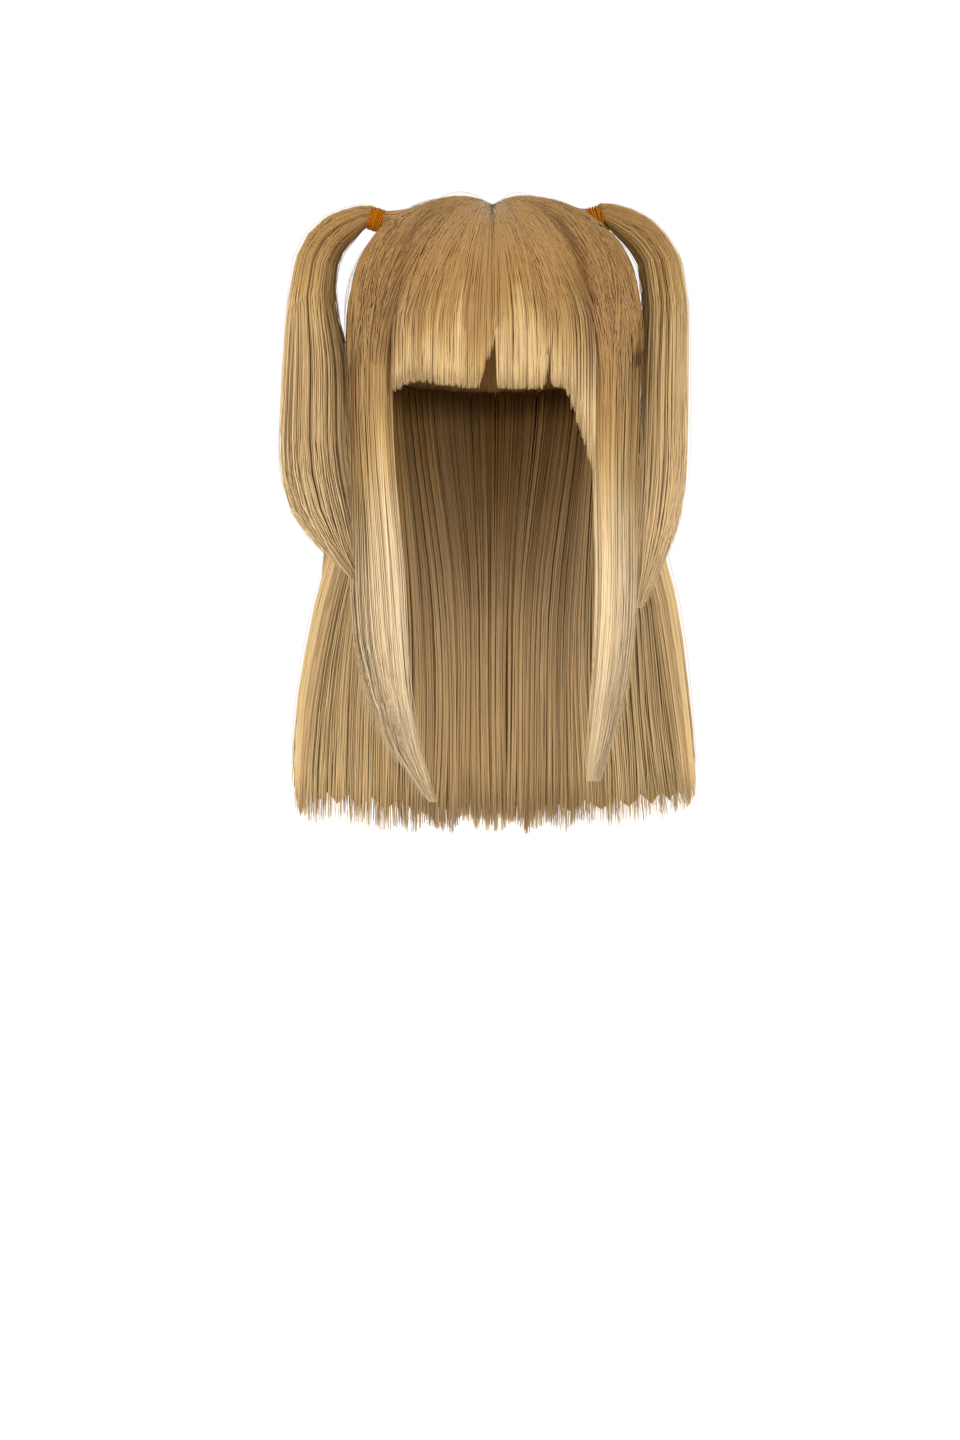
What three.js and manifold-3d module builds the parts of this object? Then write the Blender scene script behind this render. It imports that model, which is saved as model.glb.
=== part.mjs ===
// A long wig with a blunt fringe, two face-framing side locks and two high pigtails.
// Millimetres, +Z up. The face looks along -Y. Left and right are as seen from the front, so left is -X.
// The origin is the top of the head that the wig sits on, inside its crown.
import * as THREE from "three";
import { mergeVertices } from "three/addons/utils/BufferGeometryUtils.js";
import Module from "manifold-3d";

const wasm = await Module();
wasm.setup();

// The head that the wig is made for: the hollow inside the crown
const HEAD_HALF_WIDTH = 75;
const HEAD_HALF_LENGTH = 96;
const HEAD_DOME_HEIGHT = 80;
const HEAD_ROUNDNESS_SIDE = 2.5;
const HEAD_ROUNDNESS_FRONT = 2.0;

// Thickness of the hair over that head
const HAIR_OVER_TOP = 12.5;
const HAIR_OVER_LEFT = 11;
const HAIR_OVER_RIGHT = 14.5;
const HAIR_OVER_FRONT = 12;
const HAIR_OVER_BACK = 15;
const CROWN_ROUNDNESS_SIDE = 3.1;
const CROWN_ROUNDNESS_FRONT = 2.2;
const PLAN_ROUNDNESS = 2.25;

// The crown's lower rim is a slanted plane, given by its drop below the top of the head
const RIM_DROP_FRONT = 56;
const RIM_DROP_BACK = 100;

// The parting and the two rounded swells beside it
const PARTING_DEPTH = 4.5;
const PARTING_HALF_WIDTH = 4;
const PARTING_FRONT_START = -80;
const PARTING_FRONT_END = -50;
const PARTING_BACK_START = 27;
const PARTING_BACK_END = 52;
const SWELL_RISE = 2.6;
const SWELL_OFFSET = 21;
const SWELL_SPREAD = 15;
const SWELL_BACK_START = 20;
const SWELL_BACK_END = 80;
const CROWN_LOCKS = 24;
const CROWN_LOCK_RELIEF = 2.2;
const CREASE_DEPTH = 3;

// Gap kept between neighbouring pieces
const GAP = 0.3;

// Elastic ties. Each is set in from the head's side and stands above the top of the head.
const TIE_BAND_WIDTH = 8;
const TIE_HOLE_RADIUS = 5.6;
const TIE_BAND_THICKNESS = 1.7;
const TIE_WINDINGS = 4;
const TIE_GROOVE_DEPTH = 0.7;
const TIE_TILT = THREE.MathUtils.degToRad(18);
const TIE_LEFT_INSET = 5.5;
const TIE_LEFT_RISE = 2;
const TIE_RIGHT_INSET = 12.7;
const TIE_RIGHT_RISE = 3.2;

// The hair gathered up from the crown to each tie
const GATHER_LENGTH = 36;
const GATHER_ROOT_RADIUS = 23;
const GATHER_FAN = 0.7;
const GATHER_CURVE = 1.15;

// Pigtails: reach outwards from the tie, fall from the tie to the tip, greatest width and depth
const PIGTAIL_LEFT_REACH = 56;
const PIGTAIL_LEFT_FALL = 226;
const PIGTAIL_LEFT_WIDTH = 39;
const PIGTAIL_RIGHT_REACH = 53.2;
const PIGTAIL_RIGHT_FALL = 238;
const PIGTAIL_RIGHT_WIDTH = 24.4;
const PIGTAIL_DEPTH = 38;
const PIGTAIL_FORWARD = 12;
const PIGTAIL_RELIEF = 2;
const PIGTAIL_CLEARANCE = 0.6;
const NECK_INTO_TAIL = 6;

// Fringe: reach to each side, cut line below the top of the head, and the longer side-swept corner
const FRINGE_LEFT_REACH = 60;
const FRINGE_RIGHT_REACH = 62;
const FRINGE_DROP = 107;
const FRINGE_TIP_THICKNESS = 4;
const FRINGE_RELIEF = 1.4;
const FRINGE_SET_BACK = 1;
const FRINGE_TIP_TUCK = 2.5;

// Side locks: drop of the tip below the top of the head, and thickness
const LOCK_LEFT_DROP = 354;
const LOCK_RIGHT_DROP = 343;
const LOCK_THICKNESS = 11;
const LOCK_RELIEF = 1.1;
const LOCK_PROUD_OF_FRINGE = 5;

// Back hair: drop and bow of its lower edge, greatest half-widths, thickness, locks and their uneven tips
const BACK_DROP = 356;
const BACK_EDGE_BOW = 14;
const BACK_LEFT_FLARE = 124;
const BACK_RIGHT_FLARE = 127;
const BACK_THICKNESS = 10;
const BACK_LOCKS = 17;
const BACK_LOCK_RELIEF = 2.4;
const BACK_TIP_CUT = 7;

// Numbers of facets, and the shape of a lock's section and ridges
const CROWN_FACETS_AROUND = 96;
const CROWN_FACETS_DOWN = 11;
const HEAD_FACETS_AROUND = 48;
const HEAD_FACETS_DOWN = 8;
const HEAD_BELOW_RIM = 25;
const LOCK_FACETS_AROUND = 16;
const LOCK_FACETS_DOWN = 20;
const LOCK_STRANDS = 8;
const PIGTAIL_FACETS_AROUND = 24;
const PIGTAIL_FACETS_DOWN = 22;
const PIGTAIL_STRANDS = 12;
const GATHER_FACETS_DOWN = 5;
const FRINGE_FACETS_DOWN = 5;
const BACK_FACETS_DOWN = 8;
const FACETS_PER_BACK_LOCK = 4;
const TIE_FACETS_AROUND = 16;
const BAR_FACETS_AROUND = 20;
const SECTION_SQUARENESS = 0.75;
const MEAN_RIDGE = 2 / Math.PI;
const WELD_DISTANCE = 1e-3;
const HEADING_STEP = 0.01;

// Where ridges and slants fade in or out, as shares of the way down a piece or out from a dome's top
const CROWN_RIDGE_FADE = [0.25, 0.7];
const PIGTAIL_RIDGE_FADE = [0.05, 0.3];
const GATHER_RIDGE_FADE = [0.1, 0.6];
const LOCK_SLANT_FADE = [0, 0.3];
const FRINGE_RIDGE_FADE = [0, 0.3];
const BACK_RIDGE_FADE = [0, 0.25];
const CROWN_SIDE_POWER = 3;

const ROOT_COLOUR = 0xb48a52;
const LENGTH_COLOUR = 0xd8bb7c;
const TIE_COLOUR = 0xc4780f;
const HAIR_ROUGHNESS = 0.45;
const TIE_ROUGHNESS = 0.6;

const HEAD = {
  left: HEAD_HALF_WIDTH,
  right: HEAD_HALF_WIDTH,
  front: HEAD_HALF_LENGTH,
  back: HEAD_HALF_LENGTH,
  height: HEAD_DOME_HEIGHT,
  top: 0,
  sideRoundness: HEAD_ROUNDNESS_SIDE,
  frontRoundness: HEAD_ROUNDNESS_FRONT,
};

const CROWN = {
  left: HEAD_HALF_WIDTH + HAIR_OVER_LEFT,
  right: HEAD_HALF_WIDTH + HAIR_OVER_RIGHT,
  front: HEAD_HALF_LENGTH + HAIR_OVER_FRONT,
  back: HEAD_HALF_LENGTH + HAIR_OVER_BACK,
  height: HEAD_DOME_HEIGHT + HAIR_OVER_TOP,
  top: HAIR_OVER_TOP,
  sideRoundness: CROWN_ROUNDNESS_SIDE,
  frontRoundness: CROWN_ROUNDNESS_FRONT,
};

const TIE_OUTER_RADIUS = TIE_HOLE_RADIUS + TIE_BAND_THICKNESS;

// A tie's place: its centre, and the way its pigtail leaves it
function tiePlace(side, inset, rise) {
  return {
    side,
    centre: new THREE.Vector3(side * (HEAD_HALF_WIDTH - inset), 0, rise),
    axis: new THREE.Vector3(side * Math.cos(TIE_TILT), 0, Math.sin(TIE_TILT)),
  };
}

const TIE_LEFT = tiePlace(-1, TIE_LEFT_INSET, TIE_LEFT_RISE);
const TIE_RIGHT = tiePlace(1, TIE_RIGHT_INSET, TIE_RIGHT_RISE);

// Creases between the crown's main locks: bearing from the front in degrees (right is positive) and strength
const CREASES = [
  { bearing: 33, strength: 1.0 },
  { bearing: -33, strength: 0.6 },
  { bearing: -12, strength: 0.45 },
  { bearing: 14, strength: 0.45 },
  { bearing: 150, strength: 0.6 },
  { bearing: -150, strength: 0.6 },
];
const CREASE_SPREAD = THREE.MathUtils.degToRad(4);

// Fringe cut line: across is the share of the reach on that side, drop is the share of FRINGE_DROP
const FRINGE_EDGE = [
  { across: -1.0, drop: 1.01 },
  { across: -0.89, drop: 0.97 },
  { across: -0.745, drop: 0.955 },
  { across: -0.56, drop: 0.98 },
  { across: -0.42, drop: 0.985 },
  { across: -0.28, drop: 1.0 },
  { across: -0.145, drop: 1.0 },
  { across: -0.02, drop: 0.8 },
  { across: 0.03, drop: 0.7 },
  { across: 0.055, drop: 1.0 },
  { across: 0.18, drop: 1.005 },
  { across: 0.35, drop: 1.005 },
  { across: 0.515, drop: 1.0 },
  { across: 0.545, drop: 0.78 },
  { across: 0.59, drop: 0.985 },
  { across: 0.72, drop: 1.0 },
  { across: 0.815, drop: 1.126 },
  { across: 0.945, drop: 1.376 },
  { across: 1.0, drop: 1.43 },
];

// Side locks, from the rim down. drop is a share of the lock's own drop. inner is the sideways place of its
// front edge as a share of the fringe's reach, and forward how far in front that edge lies as a share of the
// distance to the fringe's end. outer is the sideways place of its rear edge as a share of the crown's
// half-width, and ahead the share of the way from the back hair's front edge to the fringe's end.
// thick and bow follow LOCK_THICKNESS.
const LOCK_LEFT_ROWS = [
  { drop: 0.21, inner: 0.97, forward: 0.99, outer: 0.93, ahead: 0.0, thick: 1.0, bow: 0.45 },
  { drop: 0.31, inner: 1.0, forward: 0.98, outer: 0.925, ahead: 0.05, thick: 0.98, bow: 0.4 },
  { drop: 0.4, inner: 0.99, forward: 0.97, outer: 0.915, ahead: 0.1, thick: 0.96, bow: 0.3 },
  { drop: 0.51, inner: 0.955, forward: 0.95, outer: 0.91, ahead: 0.12, thick: 0.95, bow: 0.2 },
  { drop: 0.58, inner: 0.9, forward: 0.94, outer: 0.93, ahead: 0.13, thick: 0.95, bow: 0.2 },
  { drop: 0.63, inner: 0.875, forward: 0.94, outer: 0.965, ahead: 0.15, thick: 0.95, bow: 0.2 },
  { drop: 0.67, inner: 0.865, forward: 0.94, outer: 0.96, ahead: 0.2, thick: 0.95, bow: 0.2 },
  { drop: 0.72, inner: 0.86, forward: 0.94, outer: 0.93, ahead: 0.32, thick: 0.95, bow: 0.15 },
  { drop: 0.79, inner: 0.86, forward: 0.95, outer: 0.885, ahead: 0.48, thick: 0.9, bow: 0.1 },
  { drop: 0.845, inner: 0.82, forward: 0.97, outer: 0.84, ahead: 0.63, thick: 0.8, bow: 0.1 },
  { drop: 0.89, inner: 0.76, forward: 0.99, outer: 0.75, ahead: 0.78, thick: 0.65, bow: 0.05 },
  { drop: 0.94, inner: 0.607, forward: 1.02, outer: 0.55, ahead: 0.93, thick: 0.4, bow: 0.0 },
  { drop: 1.0, inner: 0.493, forward: 1.05, outer: 0.372, ahead: 1.08, thick: 0.12, bow: 0.0 },
];

const LOCK_RIGHT_ROWS = [
  { drop: 0.21, inner: 0.955, forward: 0.98, outer: 0.934, ahead: 0.0, thick: 1.0, bow: 0.45 },
  { drop: 0.32, inner: 0.948, forward: 0.98, outer: 0.921, ahead: 0.1, thick: 0.98, bow: 0.4 },
  { drop: 0.41, inner: 0.948, forward: 0.97, outer: 0.903, ahead: 0.23, thick: 0.96, bow: 0.3 },
  { drop: 0.525, inner: 0.974, forward: 0.95, outer: 0.894, ahead: 0.34, thick: 0.95, bow: 0.2 },
  { drop: 0.62, inner: 1.006, forward: 0.94, outer: 0.903, ahead: 0.4, thick: 0.95, bow: 0.2 },
  { drop: 0.695, inner: 1.013, forward: 0.94, outer: 0.912, ahead: 0.46, thick: 0.95, bow: 0.15 },
  { drop: 0.77, inner: 0.993, forward: 0.94, outer: 0.903, ahead: 0.52, thick: 0.9, bow: 0.1 },
  { drop: 0.85, inner: 0.935, forward: 0.96, outer: 0.858, ahead: 0.6, thick: 0.85, bow: 0.1 },
  { drop: 0.9, inner: 0.877, forward: 0.99, outer: 0.822, ahead: 0.69, thick: 0.75, bow: 0.05 },
  { drop: 0.955, inner: 0.819, forward: 1.02, outer: 0.778, ahead: 0.81, thick: 0.55, bow: 0.0 },
  { drop: 1.0, inner: 0.8, forward: 1.04, outer: 0.715, ahead: 0.9, thick: 0.3, bow: 0.0 },
];

// Pigtails, from the tie to the tip. out is a share of the reach, down of the fall, width of the half-width,
// depth of the half-depth and fwd of PIGTAIL_FORWARD.
const PIGTAIL_LEFT_ROWS = [
  { out: 0.08, down: -0.004, width: 0.385, depth: 0.4, fwd: 0.0 },
  { out: 0.295, down: 0.011, width: 0.46, depth: 0.48, fwd: 0.05 },
  { out: 0.5, down: 0.051, width: 0.56, depth: 0.6, fwd: 0.2 },
  { out: 0.625, down: 0.111, width: 0.615, depth: 0.72, fwd: 0.4 },
  { out: 0.693, down: 0.226, width: 0.665, depth: 0.85, fwd: 0.7 },
  { out: 0.638, down: 0.372, width: 0.955, depth: 0.95, fwd: 0.9 },
  { out: 0.643, down: 0.518, width: 1.0, depth: 1.0, fwd: 1.0 },
  { out: 0.638, down: 0.637, width: 1.03, depth: 1.0, fwd: 1.35 },
  { out: 0.555, down: 0.743, width: 1.03, depth: 0.9, fwd: 2.2 },
  { out: 0.384, down: 0.845, width: 0.82, depth: 0.72, fwd: 3.3 },
  { out: 0.196, down: 0.929, width: 0.49, depth: 0.45, fwd: 4.2 },
  { out: 0.036, down: 0.996, width: 0.1, depth: 0.12, fwd: 4.8 },
];

const PIGTAIL_RIGHT_ROWS = [
  { out: 0.085, down: -0.003, width: 0.615, depth: 0.4, fwd: 0.0 },
  { out: 0.314, down: 0.013, width: 0.74, depth: 0.48, fwd: 0.05 },
  { out: 0.53, down: 0.051, width: 0.885, depth: 0.6, fwd: 0.2 },
  { out: 0.709, down: 0.114, width: 0.967, depth: 0.72, fwd: 0.4 },
  { out: 0.782, down: 0.203, width: 1.0, depth: 0.85, fwd: 0.7 },
  { out: 0.768, down: 0.358, width: 1.05, depth: 0.95, fwd: 0.9 },
  { out: 0.762, down: 0.497, width: 1.05, depth: 1.0, fwd: 1.0 },
  { out: 0.754, down: 0.622, width: 1.05, depth: 1.0, fwd: 1.0 },
  { out: 0.709, down: 0.748, width: 0.94, depth: 0.95, fwd: 1.05 },
  { out: 0.624, down: 0.853, width: 0.78, depth: 0.75, fwd: 1.1 },
  { out: 0.53, down: 0.938, width: 0.45, depth: 0.45, fwd: 1.15 },
  { out: 0.474, down: 0.996, width: 0.15, depth: 0.12, fwd: 1.2 },
];

// Back hair, from the rim down. drop is a share of BACK_DROP. left and right are shares of the way out from
// the crown's half-width to the flare. front and back are shares of the crown's half-length at the back
// (front is where the curtain's two free edges lie), and thick of BACK_THICKNESS.
const BACK_ROWS = [
  { drop: 0.22, left: -0.026, right: -0.027, front: -0.335, back: 0.99, thick: 1.0 },
  { drop: 0.335, left: -0.053, right: -0.08, front: -0.3, back: 0.96, thick: 1.0 },
  { drop: 0.42, left: -0.079, right: -0.093, front: -0.08, back: 0.91, thick: 1.05 },
  { drop: 0.49, left: 0.105, right: 0.093, front: 0.13, back: 0.865, thick: 1.1 },
  { drop: 0.575, left: 0.447, right: 0.6, front: 0.18, back: 0.82, thick: 1.15 },
  { drop: 0.66, left: 0.658, right: 0.733, front: 0.22, back: 0.8, thick: 1.15 },
  { drop: 0.735, left: 0.737, right: 0.68, front: 0.245, back: 0.8, thick: 1.1 },
  { drop: 0.815, left: 0.921, right: 0.848, front: 0.28, back: 0.82, thick: 1.05 },
  { drop: 0.9, left: 1.0, right: 1.0, front: 0.31, back: 0.83, thick: 0.95 },
  { drop: 0.965, left: 0.947, right: 0.965, front: 0.325, back: 0.82, thick: 0.75 },
  { drop: 1.0, left: 0.868, right: 0.9, front: 0.335, back: 0.81, thick: 0.5 },
];

const smooth = THREE.MathUtils.smoothstep;
const lerp = THREE.MathUtils.lerp;

function bell(distance, spread) {
  return Math.exp(-((distance / spread) ** 2));
}

// Value of one column of a table at a share of the way down its rows, on a smooth curve through them
function rowValue(rows, column, share) {
  const place = share * (rows.length - 1);
  const low = Math.min(Math.floor(place), rows.length - 2);
  const t = place - low;
  const at = (i) => rows[Math.max(0, Math.min(i, rows.length - 1))][column];
  const before = at(low - 1);
  const start = at(low);
  const end = at(low + 1);
  const after = at(low + 2);
  const slopeIn = (end - before) / 2;
  const slopeOut = (after - start) / 2;
  const t2 = t * t;
  const t3 = t2 * t;
  return (2 * t3 - 3 * t2 + 1) * start + (t3 - 2 * t2 + t) * slopeIn
    + (3 * t2 - 2 * t3) * end + (t3 - t2) * slopeOut;
}

function signedVolume(position, index) {
  const a = new THREE.Vector3();
  const b = new THREE.Vector3();
  const c = new THREE.Vector3();
  let sum = 0;
  for (let i = 0; i < index.length; i += 3) {
    a.fromBufferAttribute(position, index[i]);
    b.fromBufferAttribute(position, index[i + 1]);
    c.fromBufferAttribute(position, index[i + 2]);
    sum += a.dot(b.cross(c));
  }
  return sum / 6;
}

// Welds a shape's corners into one closed body, drops faces that have closed up, and turns it face out
function welded(geometry) {
  geometry.deleteAttribute("normal");
  geometry.deleteAttribute("uv");
  const merged = mergeVertices(geometry, WELD_DISTANCE);
  const kept = [];
  const old = merged.index.array;
  for (let i = 0; i < old.length; i += 3) {
    const [a, b, c] = [old[i], old[i + 1], old[i + 2]];
    if (a !== b && b !== c && c !== a) {
      kept.push(a, b, c);
    }
  }
  if (signedVolume(merged.attributes.position, kept) < 0) {
    kept.reverse();
  }
  merged.setIndex(new THREE.BufferAttribute(Uint32Array.from(kept), 1));
  return merged;
}

// Moves every corner of a closed shape through a function of its place, then welds it
function shaped(geometry, place) {
  const position = geometry.attributes.position;
  const corner = new THREE.Vector3();
  for (let i = 0; i < position.count; i += 1) {
    const moved = place(corner.fromBufferAttribute(position, i));
    position.setXYZ(i, moved.x, moved.y, moved.z);
  }
  return welded(geometry);
}

function solidOf(geometry) {
  return new wasm.Manifold(new wasm.Mesh({
    numProp: 3,
    vertProperties: geometry.attributes.position.array,
    triVerts: geometry.index.array,
  }));
}

function geometryOf(solid) {
  const mesh = solid.getMesh();
  const geometry = new THREE.BufferGeometry();
  geometry.setAttribute("position", new THREE.BufferAttribute(mesh.vertProperties, 3));
  geometry.setIndex(new THREE.BufferAttribute(mesh.triVerts, 1));
  return geometry;
}

function piece(name, geometry, color, roughness) {
  const material = new THREE.MeshStandardMaterial({ color, roughness, metalness: 0 });
  const mesh = new THREE.Mesh(geometry, material);
  mesh.name = name;
  return mesh;
}

// Height of the slanted rim plane at a distance back from the middle of the head
function rimHeight(y) {
  const share = (y + CROWN.front) / (CROWN.front + CROWN.back);
  return -lerp(RIM_DROP_FRONT, RIM_DROP_BACK, share);
}

// How square a dome's outline is in the direction angle: more so to the sides than to the front and back
function domeRoundness(form, angle) {
  return lerp(form.frontRoundness, form.sideRoundness, Math.cos(angle) ** 2);
}

// Share of the full plan size that a dome has at a depth below its top
function domeShare(form, depth, roundness) {
  const up = Math.max(0, 1 - depth / form.height);
  return (1 - up ** roundness) ** (1 / roundness);
}

// Plan radius of a dome in the direction angle, measured from +X towards +Y
function planRadius(form, angle) {
  const across = Math.cos(angle);
  const along = Math.sin(angle);
  const halfWidth = across > 0 ? form.right : form.left;
  const halfLength = along > 0 ? form.back : form.front;
  const sum = Math.abs(across / halfWidth) ** PLAN_ROUNDNESS + Math.abs(along / halfLength) ** PLAN_ROUNDNESS;
  return sum ** (-1 / PLAN_ROUNDNESS);
}

// Distance to the front of the crown's plan outline at a sideways place
function frontOutline(x) {
  const halfWidth = x > 0 ? CROWN.right : CROWN.left;
  const share = Math.min(1, Math.abs(x) / halfWidth);
  return -CROWN.front * (1 - share ** PLAN_ROUNDNESS) ** (1 / PLAN_ROUNDNESS);
}

// A solid dome: rows of corners from its top to the slanted plane rim, and a flat underside.
// relief gives how far the surface stands proud at an angle and a place.
function domeSolid(form, rim, relief, around, rows) {
  const profile = [new THREE.Vector2(0, 0)];
  for (let row = 1; row <= rows; row += 1) {
    profile.push(new THREE.Vector2(1, -row));
  }
  profile.push(new THREE.Vector2(0, -rows - 1));
  const middle = new THREE.Vector3(0, 0, rim(0));
  return shaped(new THREE.LatheGeometry(profile, around), (corner) => {
    const row = Math.round(-corner.y);
    if (row > rows) {
      return middle;
    }
    const angle = row === 0 ? 0 : Math.atan2(corner.z, corner.x);
    const radius = planRadius(form, angle);
    const roundness = domeRoundness(form, angle);
    const spread = 1 - Math.cos((row / rows) * (Math.PI / 2)) ** (2 / roundness);
    let depth = form.top - rim(0);
    for (let pass = 0; pass < 4; pass += 1) {
      depth = form.top - rim(radius * Math.sin(angle) * domeShare(form, depth, roundness));
    }
    const share = row === 0 ? 0 : domeShare(form, depth * spread, roundness);
    const x = radius * share * Math.cos(angle);
    const y = radius * share * Math.sin(angle);
    const proud = row === 0 ? { out: 0, up: relief(0, 0, 0, 0).up } : relief(angle, share, x, y);
    const placed = new THREE.Vector3(x + proud.out * Math.cos(angle), y + proud.out * Math.sin(angle), 0);
    placed.z = row === rows ? rim(placed.y) : form.top - depth * spread + proud.up;
    return placed;
  });
}

// The crown's parting, swells, main creases and the rounded locks that fan out from the parting
function crownRelief(angle, share, x, y) {
  const partingFade = smooth(y, PARTING_FRONT_START, PARTING_FRONT_END)
    * (1 - smooth(y, PARTING_BACK_START, PARTING_BACK_END));
  const parting = bell(x, PARTING_HALF_WIDTH) * partingFade;
  const swellFade = 1 - smooth(y, SWELL_BACK_START, SWELL_BACK_END);
  const swell = bell(Math.abs(x) - SWELL_OFFSET, SWELL_SPREAD) * swellFade;
  const bearing = Math.atan2(Math.cos(angle), -Math.sin(angle));
  let crease = 0;
  for (const row of CREASES) {
    crease += row.strength * bell(bearing - THREE.MathUtils.degToRad(row.bearing), CREASE_SPREAD);
  }
  const lock = Math.abs(Math.sin((CROWN_LOCKS / 2) * angle)) - MEAN_RIDGE;
  const fade = smooth(share, ...CROWN_RIDGE_FADE);
  const locks = fade * (CROWN_LOCK_RELIEF * lock - CREASE_DEPTH * crease);
  const side = share ** CROWN_SIDE_POWER;
  return {
    out: locks * side,
    up: SWELL_RISE * swell - PARTING_DEPTH * parting + locks * (1 - side),
  };
}

// A solid swept through rounded sections from top to bottom. section(share) gives the middle of a section,
// its half-vectors across and through, its bow to the outside, and shear, the rise per millimetre back.
function sweptLock(section, steps, around, strands, relief) {
  return shaped(new THREE.CylinderGeometry(1, 1, 1, around, steps, false), (corner) => {
    const share = 0.5 - corner.y;
    const s = section(share);
    const flat = Math.hypot(corner.x, corner.z);
    const place = s.middle.clone();
    if (flat > 0.5) {
      const turn = Math.atan2(corner.z, corner.x);
      const along = Math.sign(Math.cos(turn)) * Math.abs(Math.cos(turn)) ** SECTION_SQUARENESS;
      const thick = Math.sign(Math.sin(turn)) * Math.abs(Math.sin(turn)) ** SECTION_SQUARENESS;
      const strand = Math.abs(Math.sin((strands / 2) * turn)) - MEAN_RIDGE;
      const ridge = 1 + (relief / s.through.length()) * strand * s.ridge;
      place.addScaledVector(s.across, along);
      place.addScaledVector(s.through, thick * ridge + s.bow * (1 - along * along));
    } else {
      place.addScaledVector(s.through, s.bow);
    }
    if (s.shear !== 0) {
      place.z += s.shear * (place.y - s.middle.y);
    }
    return place;
  });
}

const RIM_SLOPE = rimHeight(1) - rimHeight(0);

// One hanging side lock. Its top lies under the rim plane, between the fringe and the back hair.
function sideLock(side, rows, drop, fringeReach, halfWidth) {
  const column = (name, share) => rowValue(rows, name, share);
  const seam = BACK_ROWS[0].front * CROWN.back - GAP;
  const foremost = frontOutline(side * fringeReach) + LOCK_PROUD_OF_FRINGE;
  const section = (share) => {
    const inner = new THREE.Vector3(
      side * column("inner", share) * fringeReach,
      column("forward", share) * foremost,
      0,
    );
    const outer = new THREE.Vector3(
      side * column("outer", share) * halfWidth,
      lerp(seam, foremost, column("ahead", share)),
      0,
    );
    const middle = inner.clone().lerp(outer, 0.5);
    const top = rimHeight(middle.y) - GAP;
    const startDrop = rows[0].drop * drop;
    const fall = (column("drop", share) * drop - startDrop) / (drop - startDrop);
    middle.z = lerp(top, -drop, fall);
    const across = outer.clone().sub(inner).multiplyScalar(0.5);
    const through = new THREE.Vector3(across.y, -across.x, 0).normalize();
    through.multiplyScalar(side * column("thick", share) * LOCK_THICKNESS * 0.5);
    return {
      middle,
      across,
      through,
      bow: (2 * column("bow", share)) / column("thick", share),
      ridge: 1 - share,
      shear: RIM_SLOPE * (1 - smooth(share, ...LOCK_SLANT_FADE)),
    };
  };
  const lock = sweptLock(section, LOCK_FACETS_DOWN, LOCK_FACETS_AROUND, LOCK_STRANDS, LOCK_RELIEF);
  return geometryOf(solidOf(lock).subtract(pigtailRoom(side < 0 ? LEFT_TAIL : RIGHT_TAIL)));
}

const LEFT_TAIL = {
  tie: TIE_LEFT,
  rows: PIGTAIL_LEFT_ROWS,
  reach: PIGTAIL_LEFT_REACH,
  fall: PIGTAIL_LEFT_FALL,
  width: PIGTAIL_LEFT_WIDTH,
};

const RIGHT_TAIL = {
  tie: TIE_RIGHT,
  rows: PIGTAIL_RIGHT_ROWS,
  reach: PIGTAIL_RIGHT_REACH,
  fall: PIGTAIL_RIGHT_FALL,
  width: PIGTAIL_RIGHT_WIDTH,
};

// Middle line and sizes of a pigtail by the share of the way from its tie to its tip, fattened by extra
function pigtailSection({ tie, rows, reach, fall, width }, extra) {
  const place = (share) => new THREE.Vector3(
    tie.centre.x + tie.side * rowValue(rows, "out", share) * reach,
    tie.centre.y - rowValue(rows, "fwd", share) * PIGTAIL_FORWARD,
    tie.centre.z - rowValue(rows, "down", share) * fall,
  );
  return (share) => {
    const before = place(Math.max(0, share - HEADING_STEP));
    const after = place(Math.min(1, share + HEADING_STEP));
    const heading = after.sub(before).setY(0).normalize();
    const across = new THREE.Vector3(heading.z, 0, -heading.x);
    return {
      middle: place(share),
      across: across.multiplyScalar(rowValue(rows, "width", share) * width * 0.5 + extra),
      through: new THREE.Vector3(0, rowValue(rows, "depth", share) * PIGTAIL_DEPTH * 0.5 + extra, 0),
      bow: 0,
      ridge: smooth(share, ...PIGTAIL_RIDGE_FADE) * (1 - share),
      shear: 0,
    };
  };
}

// A round bar along a tie's axis, from one distance to another outwards from the tie's centre
function barThroughTie(tie, radius, from, to) {
  const bar = new THREE.CylinderGeometry(radius, radius, to - from, BAR_FACETS_AROUND, 1);
  const turn = new THREE.Quaternion().setFromUnitVectors(new THREE.Vector3(0, 1, 0), tie.axis);
  bar.applyQuaternion(turn);
  bar.translate(...tie.centre.clone().addScaledVector(tie.axis, (from + to) / 2).toArray());
  return welded(bar);
}

const BUNDLE_RADIUS = TIE_HOLE_RADIUS - GAP;
const GATHER_FACE = -TIE_BAND_WIDTH / 2 - GAP;

function tailSolid(tail, extra) {
  const section = pigtailSection(tail, extra);
  return solidOf(sweptLock(
    section, PIGTAIL_FACETS_DOWN, PIGTAIL_FACETS_AROUND, PIGTAIL_STRANDS, PIGTAIL_RELIEF,
  ));
}

function pigtail(tail) {
  const outerFace = TIE_BAND_WIDTH / 2;
  const neck = barThroughTie(tail.tie, BUNDLE_RADIUS, GATHER_FACE + GAP, outerFace + NECK_INTO_TAIL);
  const band = barThroughTie(tail.tie, TIE_OUTER_RADIUS + GAP, -TIE_BAND_WIDTH, outerFace + GAP);
  return geometryOf(tailSolid(tail, 0).subtract(solidOf(band)).add(solidOf(neck)));
}

// The room that a pigtail needs beside its neighbours
function pigtailRoom(tail) {
  return tailSolid(tail, PIGTAIL_CLEARANCE);
}

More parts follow.
